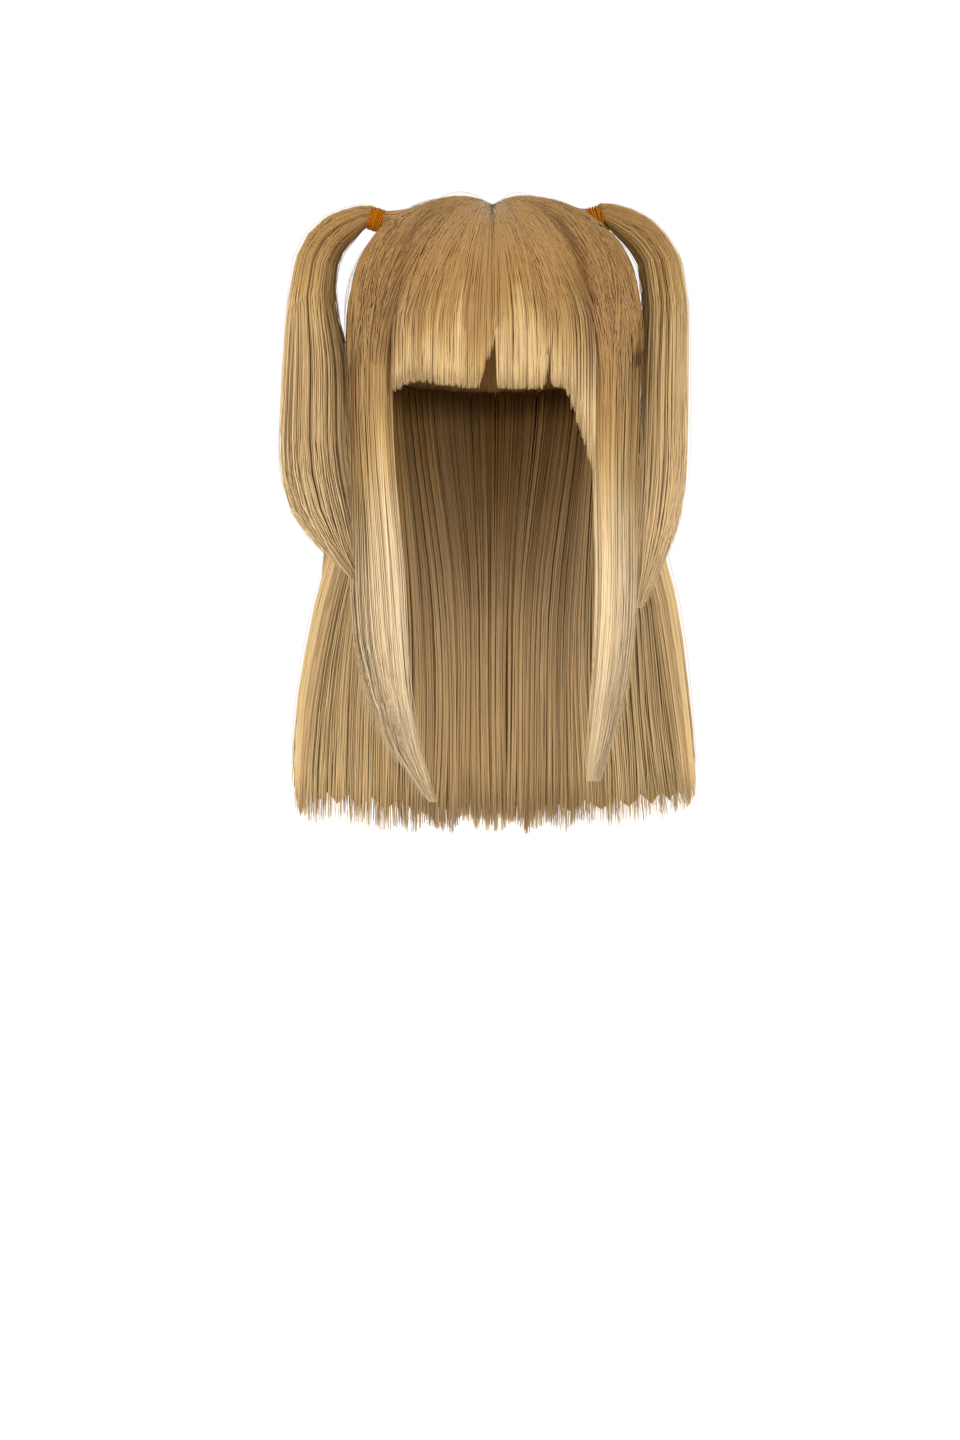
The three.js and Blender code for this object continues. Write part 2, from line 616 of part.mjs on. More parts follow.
// The fan of hair drawn from the crown to a tie: a horn that narrows to the tie and ends in a flat face
function gather(tie) {
  const tip = tie.centre.clone().addScaledVector(tie.axis, GATHER_FACE);
  const section = (share) => {
    const radius = lerp(TIE_OUTER_RADIUS - GAP, GATHER_ROOT_RADIUS, share ** GATHER_CURVE);
    const across = new THREE.Vector3(-tie.axis.z, 0, tie.axis.x);
    return {
      middle: tip.clone().addScaledVector(tie.axis, -GATHER_LENGTH * share),
      across: across.multiplyScalar(radius),
      through: new THREE.Vector3(0, radius * (1 + GATHER_FAN * share), 0),
      bow: 0,
      ridge: smooth(share, ...GATHER_RIDGE_FADE),
      shear: 0,
    };
  };
  return solidOf(sweptLock(
    section, GATHER_FACETS_DOWN, PIGTAIL_FACETS_AROUND, PIGTAIL_STRANDS, CROWN_LOCK_RELIEF,
  ));
}

function crownHair() {
  const noRelief = () => ({ out: 0, up: 0 });
  const headRim = (y) => rimHeight(y) - HEAD_BELOW_RIM;
  const head = domeSolid(HEAD, headRim, noRelief, HEAD_FACETS_AROUND, HEAD_FACETS_DOWN);
  let crown = solidOf(domeSolid(CROWN, rimHeight, crownRelief, CROWN_FACETS_AROUND, CROWN_FACETS_DOWN));
  for (const tail of [LEFT_TAIL, RIGHT_TAIL]) {
    const seat = barThroughTie(tail.tie, TIE_OUTER_RADIUS + GAP, GATHER_FACE, GATHER_LENGTH);
    crown = crown.add(gather(tail.tie)).subtract(solidOf(seat)).subtract(pigtailRoom(tail));
  }
  return geometryOf(crown.subtract(solidOf(head)));
}

// The fringe: a curved wall under the crown's front rim, ribbed in locks, with its cut line from the table
function fringe() {
  const columns = (FRINGE_EDGE.length - 1) * 2;
  const placeOf = (column) => {
    const low = Math.min(Math.floor(column / 2), FRINGE_EDGE.length - 2);
    const t = column / 2 - low;
    const across = lerp(FRINGE_EDGE[low].across, FRINGE_EDGE[low + 1].across, t);
    return {
      x: across * (across > 0 ? FRINGE_RIGHT_REACH : FRINGE_LEFT_REACH),
      bottom: -lerp(FRINGE_EDGE[low].drop, FRINGE_EDGE[low + 1].drop, t) * FRINGE_DROP,
    };
  };
  return shaped(new THREE.BoxGeometry(1, 1, 1, columns, 1, FRINGE_FACETS_DOWN), (corner) => {
    const column = Math.round((corner.x + 0.5) * columns);
    const inward = corner.y + 0.5;
    const fall = 0.5 - corner.z;
    const { x, bottom } = placeOf(column);
    const outerY = frontOutline(x);
    const slope = new THREE.Vector2(x / CROWN.right ** 2, outerY / CROWN.front ** 2).normalize();
    const thickness = lerp(HAIR_OVER_FRONT - FRINGE_SET_BACK, FRINGE_TIP_THICKNESS, fall);
    const rib = (column % 2) * FRINGE_RELIEF * smooth(fall, ...FRINGE_RIDGE_FADE) * (1 - inward);
    const set = rib - FRINGE_SET_BACK - FRINGE_TIP_TUCK * fall * fall - thickness * inward;
    const y = outerY + slope.y * set;
    return new THREE.Vector3(x + slope.x * set, y, lerp(rimHeight(y) - GAP, bottom, fall));
  });
}

// The back hair: a curtain that bends round from one side by way of the back to the other
function backHair() {
  const columns = BACK_LOCKS * FACETS_PER_BACK_LOCK;
  const curtain = shaped(new THREE.BoxGeometry(1, 1, 1, columns, 1, BACK_FACETS_DOWN), (corner) => {
    const round = corner.x + 0.5;
    const outward = corner.y + 0.5;
    const share = 0.5 - corner.z;
    const value = (name) => rowValue(BACK_ROWS, name, share);
    const turn = Math.PI * (1 - round);
    const side = Math.sign(Math.cos(turn));
    const leftWidth = lerp(CROWN.left, BACK_LEFT_FLARE, value("left"));
    const rightWidth = lerp(CROWN.right, BACK_RIGHT_FLARE, value("right"));
    const halfWidth = side < 0 ? leftWidth : rightWidth;
    const front = value("front") * CROWN.back;
    const back = value("back") * CROWN.back;
    const power = 2 / PLAN_ROUNDNESS;
    const lock = Math.abs(Math.sin(BACK_LOCKS * turn));
    const relief = BACK_LOCK_RELIEF * (lock - MEAN_RIDGE) * smooth(share, ...BACK_RIDGE_FADE);
    const set = (outward - 1) * value("thick") * BACK_THICKNESS + relief * outward;
    const acrossShare = side * Math.abs(Math.cos(turn)) ** power;
    const alongShare = Math.abs(Math.sin(turn)) ** power;
    const x = acrossShare * (halfWidth + set);
    const y = front + alongShare * (back + set - front);
    const bow = BACK_EDGE_BOW * (Math.abs(Math.sin(turn)) - 0.5) + BACK_TIP_CUT * (lock - 0.5);
    const top = rimHeight(y) - GAP;
    const fall = (value("drop") - BACK_ROWS[0].drop) / (1 - BACK_ROWS[0].drop);
    const bottom = -BACK_DROP - bow;
    return new THREE.Vector3(x, y, lerp(top, bottom, fall));
  });
  return geometryOf(solidOf(curtain).subtract(pigtailRoom(LEFT_TAIL)).subtract(pigtailRoom(RIGHT_TAIL)));
}

// A band of elastic wound side by side round the gathered hair
function hairTie(tie) {
  const profile = [new THREE.Vector2(TIE_HOLE_RADIUS, -TIE_BAND_WIDTH / 2)];
  const steps = TIE_WINDINGS * 2;
  for (let i = 0; i <= steps; i += 1) {
    const swell = Math.abs(Math.sin((i / steps) * TIE_WINDINGS * Math.PI));
    const radius = lerp(TIE_OUTER_RADIUS - TIE_GROOVE_DEPTH, TIE_OUTER_RADIUS, swell);
    profile.push(new THREE.Vector2(radius, lerp(-TIE_BAND_WIDTH / 2, TIE_BAND_WIDTH / 2, i / steps)));
  }
  profile.push(new THREE.Vector2(TIE_HOLE_RADIUS, TIE_BAND_WIDTH / 2));
  profile.push(profile[0].clone());
  const ring = new THREE.LatheGeometry(profile, TIE_FACETS_AROUND);
  ring.applyQuaternion(new THREE.Quaternion().setFromUnitVectors(new THREE.Vector3(0, 1, 0), tie.axis));
  ring.translate(...tie.centre.toArray());
  return welded(ring);
}

function hair(name, geometry, colour) {
  return piece(name, geometry, colour, HAIR_ROUGHNESS);
}

const leftLock = sideLock(-1, LOCK_LEFT_ROWS, LOCK_LEFT_DROP, FRINGE_LEFT_REACH, CROWN.left);
const rightLock = sideLock(1, LOCK_RIGHT_ROWS, LOCK_RIGHT_DROP, FRINGE_RIGHT_REACH, CROWN.right);

const wig = new THREE.Group();
wig.name = "pigtail_wig";
wig.add(hair("crown_hair", crownHair(), ROOT_COLOUR));
wig.add(hair("fringe", fringe(), LENGTH_COLOUR));
wig.add(hair("side_lock_left", leftLock, LENGTH_COLOUR));
wig.add(hair("side_lock_right", rightLock, LENGTH_COLOUR));
wig.add(hair("back_hair", backHair(), LENGTH_COLOUR));
wig.add(hair("pigtail_left", pigtail(LEFT_TAIL), LENGTH_COLOUR));
wig.add(hair("pigtail_right", pigtail(RIGHT_TAIL), LENGTH_COLOUR));
wig.add(piece("hair_tie_left", hairTie(TIE_LEFT), TIE_COLOUR, TIE_ROUGHNESS));
wig.add(piece("hair_tie_right", hairTie(TIE_RIGHT), TIE_COLOUR, TIE_ROUGHNESS));

export default wig;
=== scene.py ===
import math
from types import SimpleNamespace

import bmesh
import bpy
import numpy as np
from mathutils import Matrix, Vector
from mathutils.bvhtree import BVHTree


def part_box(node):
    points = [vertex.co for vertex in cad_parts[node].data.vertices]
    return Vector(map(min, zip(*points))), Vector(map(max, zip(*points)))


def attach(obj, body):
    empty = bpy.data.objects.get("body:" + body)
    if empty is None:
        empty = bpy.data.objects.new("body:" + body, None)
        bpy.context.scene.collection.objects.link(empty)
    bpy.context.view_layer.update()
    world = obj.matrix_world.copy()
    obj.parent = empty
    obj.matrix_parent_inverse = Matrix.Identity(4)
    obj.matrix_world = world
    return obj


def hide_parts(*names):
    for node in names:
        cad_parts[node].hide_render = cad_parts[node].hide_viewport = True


bl_info = {
    "name": "Pigtail wig",
    "version": (1, 0, 0),
    "blender": (4, 5, 0),
    "location": "View3D > Sidebar > Wig",
    "description": "Dresses the packed solids of a long wig with strands of hair and wound elastic ties",
    "category": "Object",
}

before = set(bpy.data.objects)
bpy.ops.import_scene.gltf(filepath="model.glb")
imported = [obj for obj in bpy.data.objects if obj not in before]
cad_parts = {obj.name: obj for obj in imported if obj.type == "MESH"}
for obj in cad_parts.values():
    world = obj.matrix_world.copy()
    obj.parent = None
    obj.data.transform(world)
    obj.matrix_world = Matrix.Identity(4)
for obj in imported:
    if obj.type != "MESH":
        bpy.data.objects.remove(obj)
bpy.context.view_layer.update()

MM = 0.001
LEVEL = np.array((0.0, 0.0, 1.0))
FRONT = np.array((0.0, -1.0, 0.0))

# The point inside the head that strands over the crown keep round, and the upright line behind it
# that the back hair keeps round
HEAD_MIDDLE = np.array((0.0, 0.0, -50.0)) * MM
BACK_AXIS_DISTANCE = 30 * MM
# How far outside the wig rays towards it start
FAR = 300 * MM
# The hair over the crown is never thicker than this, and never nearer to the head's middle
THICKEST_CROWN = 20.5 * MM
NARROWEST_CROWN = 50 * MM
# Points of a strand on its way over the crown
CROWN_POINTS = 12
# How often a strand's distances over the crown are evened out, so that it lies smooth over the facets
REACH_PASSES = 3

# The ties, and the horns of hair that narrow towards them
TIE_TILT = math.radians(18)
TIE_HALF_BAND = 4.3 * MM
TIE_TURNS = 7
TIE_WOUND_RADIUS = 6.5 * MM
ELASTIC_HALF_WIDTH = 0.66 * MM
ELASTIC_HALF_THICKNESS = 0.6 * MM
HORN_INWARD = np.array((30.0, 20.0, 12.0, 5.0, 0.0, -5.0)) * MM
HORN_RADIUS = np.array((20.0, 15.1, 11.5, 8.6, 6.6, 5.2)) * MM
HORN_FAN = 0.7 / (36 * MM)
# How far from a tie's middle the mass under the strands keeps to the horn, and its share of the horn's radius
HORN_TIP_REACH = 16 * MM
HORN_MASS_SHARE = 0.62
# How far the loose fine strands stand off the crown halfway along
LOOSE_LIFT = 3.5 * MM
# The hair swept up to a tie: how far below the horn's middle line it starts, as a cosine, and its
# roots in millimetres out to the side, ahead or behind, and the heights between which they lie
SWEPT_UP_BELOW = -0.35
LOW_ROOTS_OUT = 82.0
LOW_ROOTS_AHEAD = 55
LOW_ROOTS_HEIGHTS = (-84, -56)
# Distances out from the middle of the tie, and the radius of the bunch there
TAIL_START = ((1.5 * MM, 5.2 * MM), (5.5 * MM, 6.8 * MM))

# The point a pigtail's arch turns round, out from its tie and below it, the turns from upright at
# which the arch is measured, and the number of level measures from there down to the tip
ARCH_OUT = 10.5 * MM
ARCH_BELOW = 30 * MM
ARCH_TURNS = (5, 30, 55, 78)
TAIL_LEVEL_COUNT = 10
# Heights in millimetres at which the side locks and the back hair are measured
LOCK_LEVELS = (-88, -105, -125, -150, -172, -190, -205, -222, -240, -260, -280, -300, -318, -334, -346)
BACK_LEVELS = (-108, -125, -145, -165, -190, -215, -240, -265, -290, -315, -335)

# The fringe leaves the crown at its rim. Its face is looked for lower down, its cut edge that far
# behind its face, and the edge is taken to be at its start until it is found.
FRINGE_RIM = -64 * MM
FRINGE_FACE_HEIGHT = -68 * MM
FRINGE_EDGE_DEPTH = 4.3 * MM
FRINGE_EDGE_START = -105 * MM

BACK_LOCKS = 17
BACK_CLUMPS = 60

# The masses of hair under the strands: how deep each lies in its solid, and where it is cut off
CROWN_MASS_DEPTH = 3.4 * MM
FRINGE_MASS_DEPTH = 1.8 * MM
LOCK_MASS_DEPTH = 2.6 * MM
BACK_MASS_DEPTH = 3.8 * MM
PIGTAIL_MASS_DEPTH = 3.0 * MM
LOCK_MASS_BOTTOM = -198 * MM
PIGTAIL_MASS_BOTTOM = -165 * MM
# The back's mass is drawn up from its uneven edge by this much, between two drops in millimetres
BACK_MASS_RISE = 11 * MM
BACK_RISE_DROPS = (290, 340)
# Rounds of smoothing for a mass, and the height below which it shrinks only sideways
MASS_SMOOTHING = 2
MASS_DOME_FOOT = -30 * MM

# Creases in the crown between the fringe and the side hair, darkened with painted shade: bearing from the
# front and darkness
CROWN_CREASES = ((math.radians(33), 0.9), (math.radians(-35), 0.5))
CREASE_SPREAD = math.radians(2.4)

# The stage, in metres: a wide floor below the wig, soft boxes with their places and watts, and a
# level camera where the photo's stood
FLOOR_RADIUS = 60
FLOOR_HEIGHT = -0.95
SOFTBOX_SIZE = 1.4
SOFTBOXES = (
    ("left_softbox", (-2.1, -1.3, 0.2), 38),
    ("right_softbox", (2.2, -1.3, 0.2), 34),
    ("top_softbox", (0.0, -0.6, 1.9), 5),
)
WIG_MIDDLE = (0, 0, -0.15)
CAMERA_PLACE = (-7.2 * MM, -2.5, -298.2 * MM)
CAMERA_SENSOR = 36
CAMERA_LENS = 104.17


class WigSizes(bpy.types.PropertyGroup):
    strand_width: bpy.props.FloatProperty(
        name="Strand width", description="Width of one strand at its widest",
        default=0.95 * MM, min=0.2 * MM, max=3 * MM, unit="LENGTH",
    )
    fringe_strands: bpy.props.IntProperty(
        name="Fringe strands", description="Number of strands in the fringe", default=1600, min=100,
    )
    lock_strands: bpy.props.IntProperty(
        name="Side lock strands", description="Number of strands in each side lock", default=900, min=100,
    )
    back_strands: bpy.props.IntProperty(
        name="Back strands", description="Number of strands on the outside of the back hair",
        default=1700, min=100,
    )
    inner_strands: bpy.props.IntProperty(
        name="Inner strands", description="Number of strands on the inside and the edges of the back hair",
        default=1300, min=100,
    )
    pigtail_strands: bpy.props.IntProperty(
        name="Pigtail strands", description="Number of strands in each pigtail", default=1200, min=100,
    )
    gathered_strands: bpy.props.IntProperty(
        name="Gathered strands", description="Number of strands drawn to each tie", default=620, min=50,
    )


class WigColours(bpy.types.PropertyGroup):
    root: bpy.props.FloatVectorProperty(
        name="Roots", description="Colour of the hair at its roots", subtype="COLOR", size=3,
        default=(0.31, 0.167, 0.049), min=0, max=1,
    )
    length: bpy.props.FloatVectorProperty(
        name="Lengths", description="Colour of the hair halfway", subtype="COLOR", size=3,
        default=(0.46, 0.295, 0.108), min=0, max=1,
    )
    tip: bpy.props.FloatVectorProperty(
        name="Tips", description="Colour of the palest tips", subtype="COLOR", size=3,
        default=(0.645, 0.485, 0.285), min=0, max=1,
    )
    # Colour of the painted shade deep between the locks and in the creases
    painted_shade: bpy.props.FloatVectorProperty(
        name="Creases", description="Colour deep between the locks", subtype="COLOR", size=3,
        default=(0.15, 0.064, 0.014), min=0, max=1,
    )
    elastic: bpy.props.FloatVectorProperty(
        name="Elastic", description="Colour of the ties", subtype="COLOR", size=3,
        default=(0.52, 0.16, 0.001), min=0, max=1,
    )


def unit(vectors):
    return vectors / np.linalg.norm(vectors, axis=-1, keepdims=True)


def lerp(start, end, share):
    return start + (end - start) * share


def smooth(value, low, high):
    share = np.clip((value - low) / (high - low), 0, 1)
    return share * share * (3 - 2 * share)


def bell(distance, spread):
    return np.exp(-((distance / spread) ** 2))


def solid_tree(*nodes):
    """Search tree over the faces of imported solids"""
    corners = []
    faces = []
    for node in nodes:
        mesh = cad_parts[node].data
        first = len(corners)
        corners += [corner.co.copy() for corner in mesh.vertices]
        faces += [[first + i for i in face.vertices] for face in mesh.polygons]
    return BVHTree.FromPolygons(corners, faces)


CROWN_TREE = solid_tree("crown_hair")
COVER_TREE = solid_tree("crown_hair", "fringe", "side_lock_left", "side_lock_right", "back_hair")
FRINGE_TREE = solid_tree("fringe")
BACK_TREE = solid_tree("back_hair")


def hit_distance(tree, origin, direction):
    """Distance to the first face that a ray meets, or None"""
    return tree.ray_cast(Vector(origin), Vector(direction))[3]


def crown_reach(direction):
    """Distance from the head's middle to the outside of the wig, leaving out the horns towards the ties"""
    outside = hit_distance(COVER_TREE, HEAD_MIDDLE + direction * FAR, -direction)
    if outside is None:
        return None
    inside = hit_distance(CROWN_TREE, HEAD_MIDDLE, direction)
    return FAR - outside if inside is None else min(FAR - outside, inside + THICKEST_CROWN)


def over_crown(roots, ends, depths, points):
    """Paths over the crown from the roots to the places where the strands leave it, and the ways out"""
    start = unit(roots - HEAD_MIDDLE)
    finish = unit(ends - HEAD_MIDDLE)
    end_reach = np.linalg.norm(ends - HEAD_MIDDLE, axis=-1)
    angle = np.arccos(np.clip(np.sum(start * finish, axis=-1), -1, 1))[:, None, None]
    share = np.linspace(0, 1, points)[None, :, None]
    outward = (np.sin((1 - share) * angle) * start[:, None] + np.sin(share * angle) * finish[:, None])
    outward = unit(outward / np.sin(angle))
    reach = np.empty(outward.shape[:2])
    for i, row in enumerate(outward):
        for j, direction in enumerate(row):
            found = crown_reach(direction)
            reach[i, j] = end_reach[i] if found is None or found < NARROWEST_CROWN else found
    reach[:, -1] = end_reach + depths
    for _ in range(REACH_PASSES):
        reach[:, 1:-1] = reach[:, 1:-1] / 2 + (reach[:, :-2] + reach[:, 2:]) / 4
    return HEAD_MIDDLE + outward * (reach - depths[:, None])[..., None], outward


def eased(paths, passes, first):
    """Paths with their corners rounded from a first point on, so that what lies over the crown stays there"""
    for _ in range(passes):
        middle = (paths[:, first - 1:-2] + paths[:, first + 1:]) / 2
        paths[:, first:-1] = (paths[:, first:-1] + middle) / 2
    return paths


def curve_at(rows, share):
    """Values on a smooth curve through evenly spaced rows"""
    place = np.clip(share, 0, 1) * (len(rows) - 1)
    low = np.minimum(place.astype(int), len(rows) - 2)
    t = (place - low)[..., None]
    before = rows[np.maximum(low - 1, 0)]
    start = rows[low]
    end = rows[low + 1]
    after = rows[np.minimum(low + 2, len(rows) - 1)]
    slope_in = (end - before) / 2
    slope_out = (after - start) / 2
    return (
        (2 * t**3 - 3 * t**2 + 1) * start + (t**3 - 2 * t**2 + t) * slope_in
        + (3 * t**2 - 2 * t**3) * end + (t**3 - t**2) * slope_out
    )


def cut_points(node, place, heading, reach):
    """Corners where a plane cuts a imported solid, within reach of a place"""
    shell = bmesh.new()
    shell.from_mesh(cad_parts[node].data)
    cut = bmesh.ops.bisect_plane(
        shell, geom=shell.verts[:] + shell.edges[:] + shell.faces[:], dist=1e-7,
        plane_co=place, plane_no=heading, clear_inner=True, clear_outer=True,
    )
    points = [v.co[:] for v in cut["geom_cut"] if isinstance(v, bmesh.types.BMVert)]
    points = np.array(points).reshape(-1, 3)
    shell.free()
    return points[np.linalg.norm(points - place, axis=1) < reach]


def section_row(points, across, through):
    """Middle, half-width and half-depth of the box that holds a section's points"""
    mean = points.mean(axis=0)
    row = [mean.copy()]
    for axis in (across, through):
        span = (points - mean) @ axis
        row[0] += axis * (span.max() + span.min()) / 2
        row.append(axis * (span.max() - span.min()) / 2)
    return row


def tie_place(word):
    """Middle of a tie, the way its pigtail leaves it, and the way up across it"""
    side = -1 if word == "left" else 1
    low, high = (np.array(corner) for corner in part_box(f"hair_tie_{word}"))
    axis = np.array((side * math.cos(TIE_TILT), 0.0, math.sin(TIE_TILT)))
    lift = np.array((-side * math.sin(TIE_TILT), 0.0, math.cos(TIE_TILT)))
    return (low + high) / 2, axis, lift


def tail_sections(word):
    """Middles and half-vectors of a pigtail's sections, from the middle of its tie to its tip"""
    node = f"pigtail_{word}"
    middle, axis, lift = tie_place(word)
    side = np.sign(axis[0])
    rows = [[middle + axis * out, lift * radius, FRONT * radius] for out, radius in TAIL_START]
    pivot = middle + np.array((side * ARCH_OUT, 0.0, -ARCH_BELOW))
    for turn in np.radians(ARCH_TURNS):
        outward = np.array((side * math.sin(turn), 0.0, math.cos(turn)))
        points = cut_points(node, pivot, np.cross(outward, FRONT), FAR)
        points = points[(points - pivot) @ outward > 2 * MM]
        rows.append(section_row(points, outward, FRONT))
    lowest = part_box(node)[0][2] + 3 * MM
    for height in np.linspace(pivot[2], lowest, TAIL_LEVEL_COUNT):
        points = cut_points(node, np.array((0.0, 0.0, height)), LEVEL, FAR)
        rows.append(section_row(points, np.array((side, 0.0, 0.0)), FRONT))
    return np.array(rows)


def lock_sections(node, side):
    """Middles and half-vectors of a hanging lock's level sections"""
    rows = []
    across = np.array((side * 0.5, 0.86, 0.0))
    for height in LOCK_LEVELS:
        place = np.array((side * 65.0, -60.0, height)) * MM
        points = cut_points(node, place, LEVEL, 60 * MM)
        if len(points) < 3:
            break
        flat = points - points.mean(axis=0)
        widths, axes = np.linalg.eigh(flat.T @ flat)
        if widths[2] > 1.7 * widths[1]:
            across = axes[:, 2] * np.sign(axes[:, 2] @ across)
        through = np.cross(across, LEVEL)
        through *= np.sign(through @ np.array((side, -0.6, 0.0)))
        rows.append(section_row(points, across, through))
    return np.array(rows)


def uneven_edges(rng, parts):
    """Edges from 0 to 1 of parts of uneven width"""
    widths = rng.uniform(0.5, 1.5, parts)
    return np.concatenate(([0], np.cumsum(widths) / widths.sum()))


def grouped(rng, count, locks, clumps):
    """Places from 0 to 1 for strands that lie in small clumps, and the clumps in locks"""
    place = rng.uniform(0, 1, count)
    edges = uneven_edges(rng, clumps)
    clump = np.clip(np.searchsorted(edges, place) - 1, 0, clumps - 1)
    middle = (edges[clump] + edges[clump + 1]) / 2
    lock_edges = uneven_edges(rng, locks)
    lock = np.clip(np.searchsorted(lock_edges, middle) - 1, 0, locks - 1)
    lock_middle = (lock_edges[lock] + lock_edges[lock + 1]) / 2

    def varied(lock_size, clump_size, strand_size):
        return (rng.normal(0, lock_size, locks)[lock] + rng.normal(0, clump_size, clumps)[clump]
                + rng.normal(0, strand_size, count))

    return SimpleNamespace(
        place=place, middle=middle, lock=lock, lock_middle=lock_middle, varied=varied,
        offset=(place - middle) / (edges[clump + 1] - edges[clump]) * 2,
        lock_offset=np.clip((place - lock_middle) / (lock_edges[lock + 1] - lock_edges[lock]) * 2, -1, 1),
        tone=np.clip(0.5 + varied(0.13, 0.12, 0.16), 0, 1)[:, None],
    )


def groove_depth(group):
    """How deep a strand lies for being at the edge of its clump and of its lock"""
    return (np.abs(group.offset) ** 3 * 0.3 + np.abs(group.lock_offset) ** 4 * 0.9) * MM


def groove_shade(group, strength):
    """Shade at the edges of clumps and locks, where the strands lie deep"""
    clump = smooth(np.abs(group.offset), 0.6, 1.0) * 0.35
    return strength * (clump + smooth(np.abs(group.lock_offset), 0.8, 1.0))[:, None]


def sway(rng, count, points, size):
    """Slow sideways wander of each strand, growing towards its tip"""
    share = np.linspace(0, 1, points)
    phase = rng.uniform(0, 2 * math.pi, (count, 1))
    rate = rng.uniform(0.7, 1.6, (count, 1))
    strength = rng.normal(0, 1, (count, 1))
    return size * strength * np.sin(phase + rate * math.pi * share) * smooth(share, 0.05, 0.9)


def stray(rng, count, share_of_all):
    """Marks the few strands that are fine and stand off the rest"""
    return rng.uniform(0, 1, count) < share_of_all


def widths_of(rng, count, scale, fine):
    widths = bpy.context.scene.wig_sizes.strand_width * scale * rng.uniform(0.7, 1.25, count)
    return np.where(fine, widths * 0.33, widths)


def crown_crease_shade(paths):
    """Shade of the two creases that run down the crown beside the fringe"""
    bearing = np.arctan2(paths[..., 0], -paths[..., 1])
    height = paths[..., 2] / MM
    fade = smooth(height, -125, -75) * (1 - smooth(height, 2, 11))
    return fade * sum(dark * bell(bearing - turn, CREASE_SPREAD) for turn, dark in CROWN_CREASES)


def strand_mesh(name, strands):
    """Joins flattened three-sided strands with closed ends into one mesh"""
    paths = strands.paths
    count, points, _ = paths.shape
    along = unit(np.gradient(paths, axis=1) + 1e-9)
    side = unit(np.cross(along, strands.outs))
    out = np.cross(side, along)
    share = np.linspace(0, 1, points)
    taper = lerp(0.6, 1.0, smooth(share, 0, 0.15)) * lerp(1.0, 0.2, smooth(share, strands.tapers_from, 1.0))
    width = strands.widths[:, None, None] * taper[None, :, None]
    ring = np.stack((side * width / 2, out * width * 0.4, side * -width / 2), axis=2)
    corners = (paths[:, :, None] + ring).reshape(-1, 3)

    strand = np.arange(count)[:, None, None] * points * 3
    step = np.arange(points - 1)[None, :, None] * 3
    k = np.arange(3)[None, None, :]
    after = (k + 1) % 3
    quads = np.stack((
        strand + step + k, strand + step + 3 + k, strand + step + 3 + after, strand + step + after,
    ), axis=-1).reshape(-1)
    root = (np.arange(count) * points * 3)[:, None]
    ends = np.concatenate((root + (0, 1, 2), root + (points - 1) * 3 + (2, 1, 0)), axis=1).reshape(-1)

    mesh = bpy.data.meshes.new(name)
    mesh.vertices.add(len(corners))
    mesh.vertices.foreach_set("co", corners.astype(np.float32).ravel())
    loops = np.concatenate((quads, ends)).astype(np.int32)
    quad_count = len(quads) // 4
    starts = np.concatenate((np.arange(quad_count) * 4, len(quads) + np.arange(count * 2) * 3))
    mesh.loops.add(len(loops))
    mesh.loops.foreach_set("vertex_index", loops)
    mesh.polygons.add(len(starts))
    mesh.polygons.foreach_set("loop_start", starts.astype(np.int32))
    mesh.update(calc_edges=True)
    mesh.shade_smooth()

    for label in ("pale", "tone", "shade"):
        values = np.repeat(np.broadcast_to(getattr(strands, label), (count, points)), 3)
        layer = mesh.attributes.new(label, "FLOAT", "POINT")
        layer.data.foreach_set("value", values.astype(np.float32))
    step_length = np.linalg.norm(np.diff(paths, axis=1), axis=-1) / MM
    length = np.concatenate((np.zeros((count, 1)), np.cumsum(step_length, axis=1)), axis=1)
    across = width / MM * np.array((0.5, 0.0, -0.5)) + (np.arange(count) * 5.7)[:, None, None]
    grain = np.stack((across, np.repeat(length[..., None], 3, axis=2), np.zeros_like(across)), axis=-1)
    layer = mesh.attributes.new("grain", "FLOAT_VECTOR", "POINT")
    layer.data.foreach_set("vector", grain.astype(np.float32).ravel())
    strand_map(mesh, loops, count, points)
    return mesh


def strand_map(mesh, loops, count, points):
    """Gives every strand a slim cell of its own in the map"""
    rows = max(1, round(math.sqrt(count / 48)))
    columns = math.ceil(count / rows)
    strand = loops // (points * 3)
    step = (loops // 3) % points
    k = loops % 3
    u = (strand % columns + 0.1 + 0.4 * k) / columns
    v = (strand // columns + 0.02 + 0.96 * step / (points - 1)) / rows
    layer = mesh.uv_layers.new(name="OFBake")
    layer.data.foreach_set("uv", np.stack((u, v), axis=-1).astype(np.float32).ravel())


def add_piece(name, mesh, material, slot, *nodes):
    """Links a finished piece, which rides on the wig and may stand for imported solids"""
    piece = bpy.data.objects.new(name, mesh)
    bpy.context.scene.collection.objects.link(piece)
    mesh.materials.append(material)
    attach(piece, "root")
    if nodes:
        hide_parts(*nodes)
    return piece


def new_material(name, roughness):
    """A new material with its nodes, links and shader"""
    material = bpy.data.materials.new(name)
    material.use_nodes = True
    nodes, links = material.node_tree.nodes, material.node_tree.links
    shader = nodes["Principled BSDF"]
    shader.inputs["Roughness"].default_value = roughness
    return material, nodes, links, shader


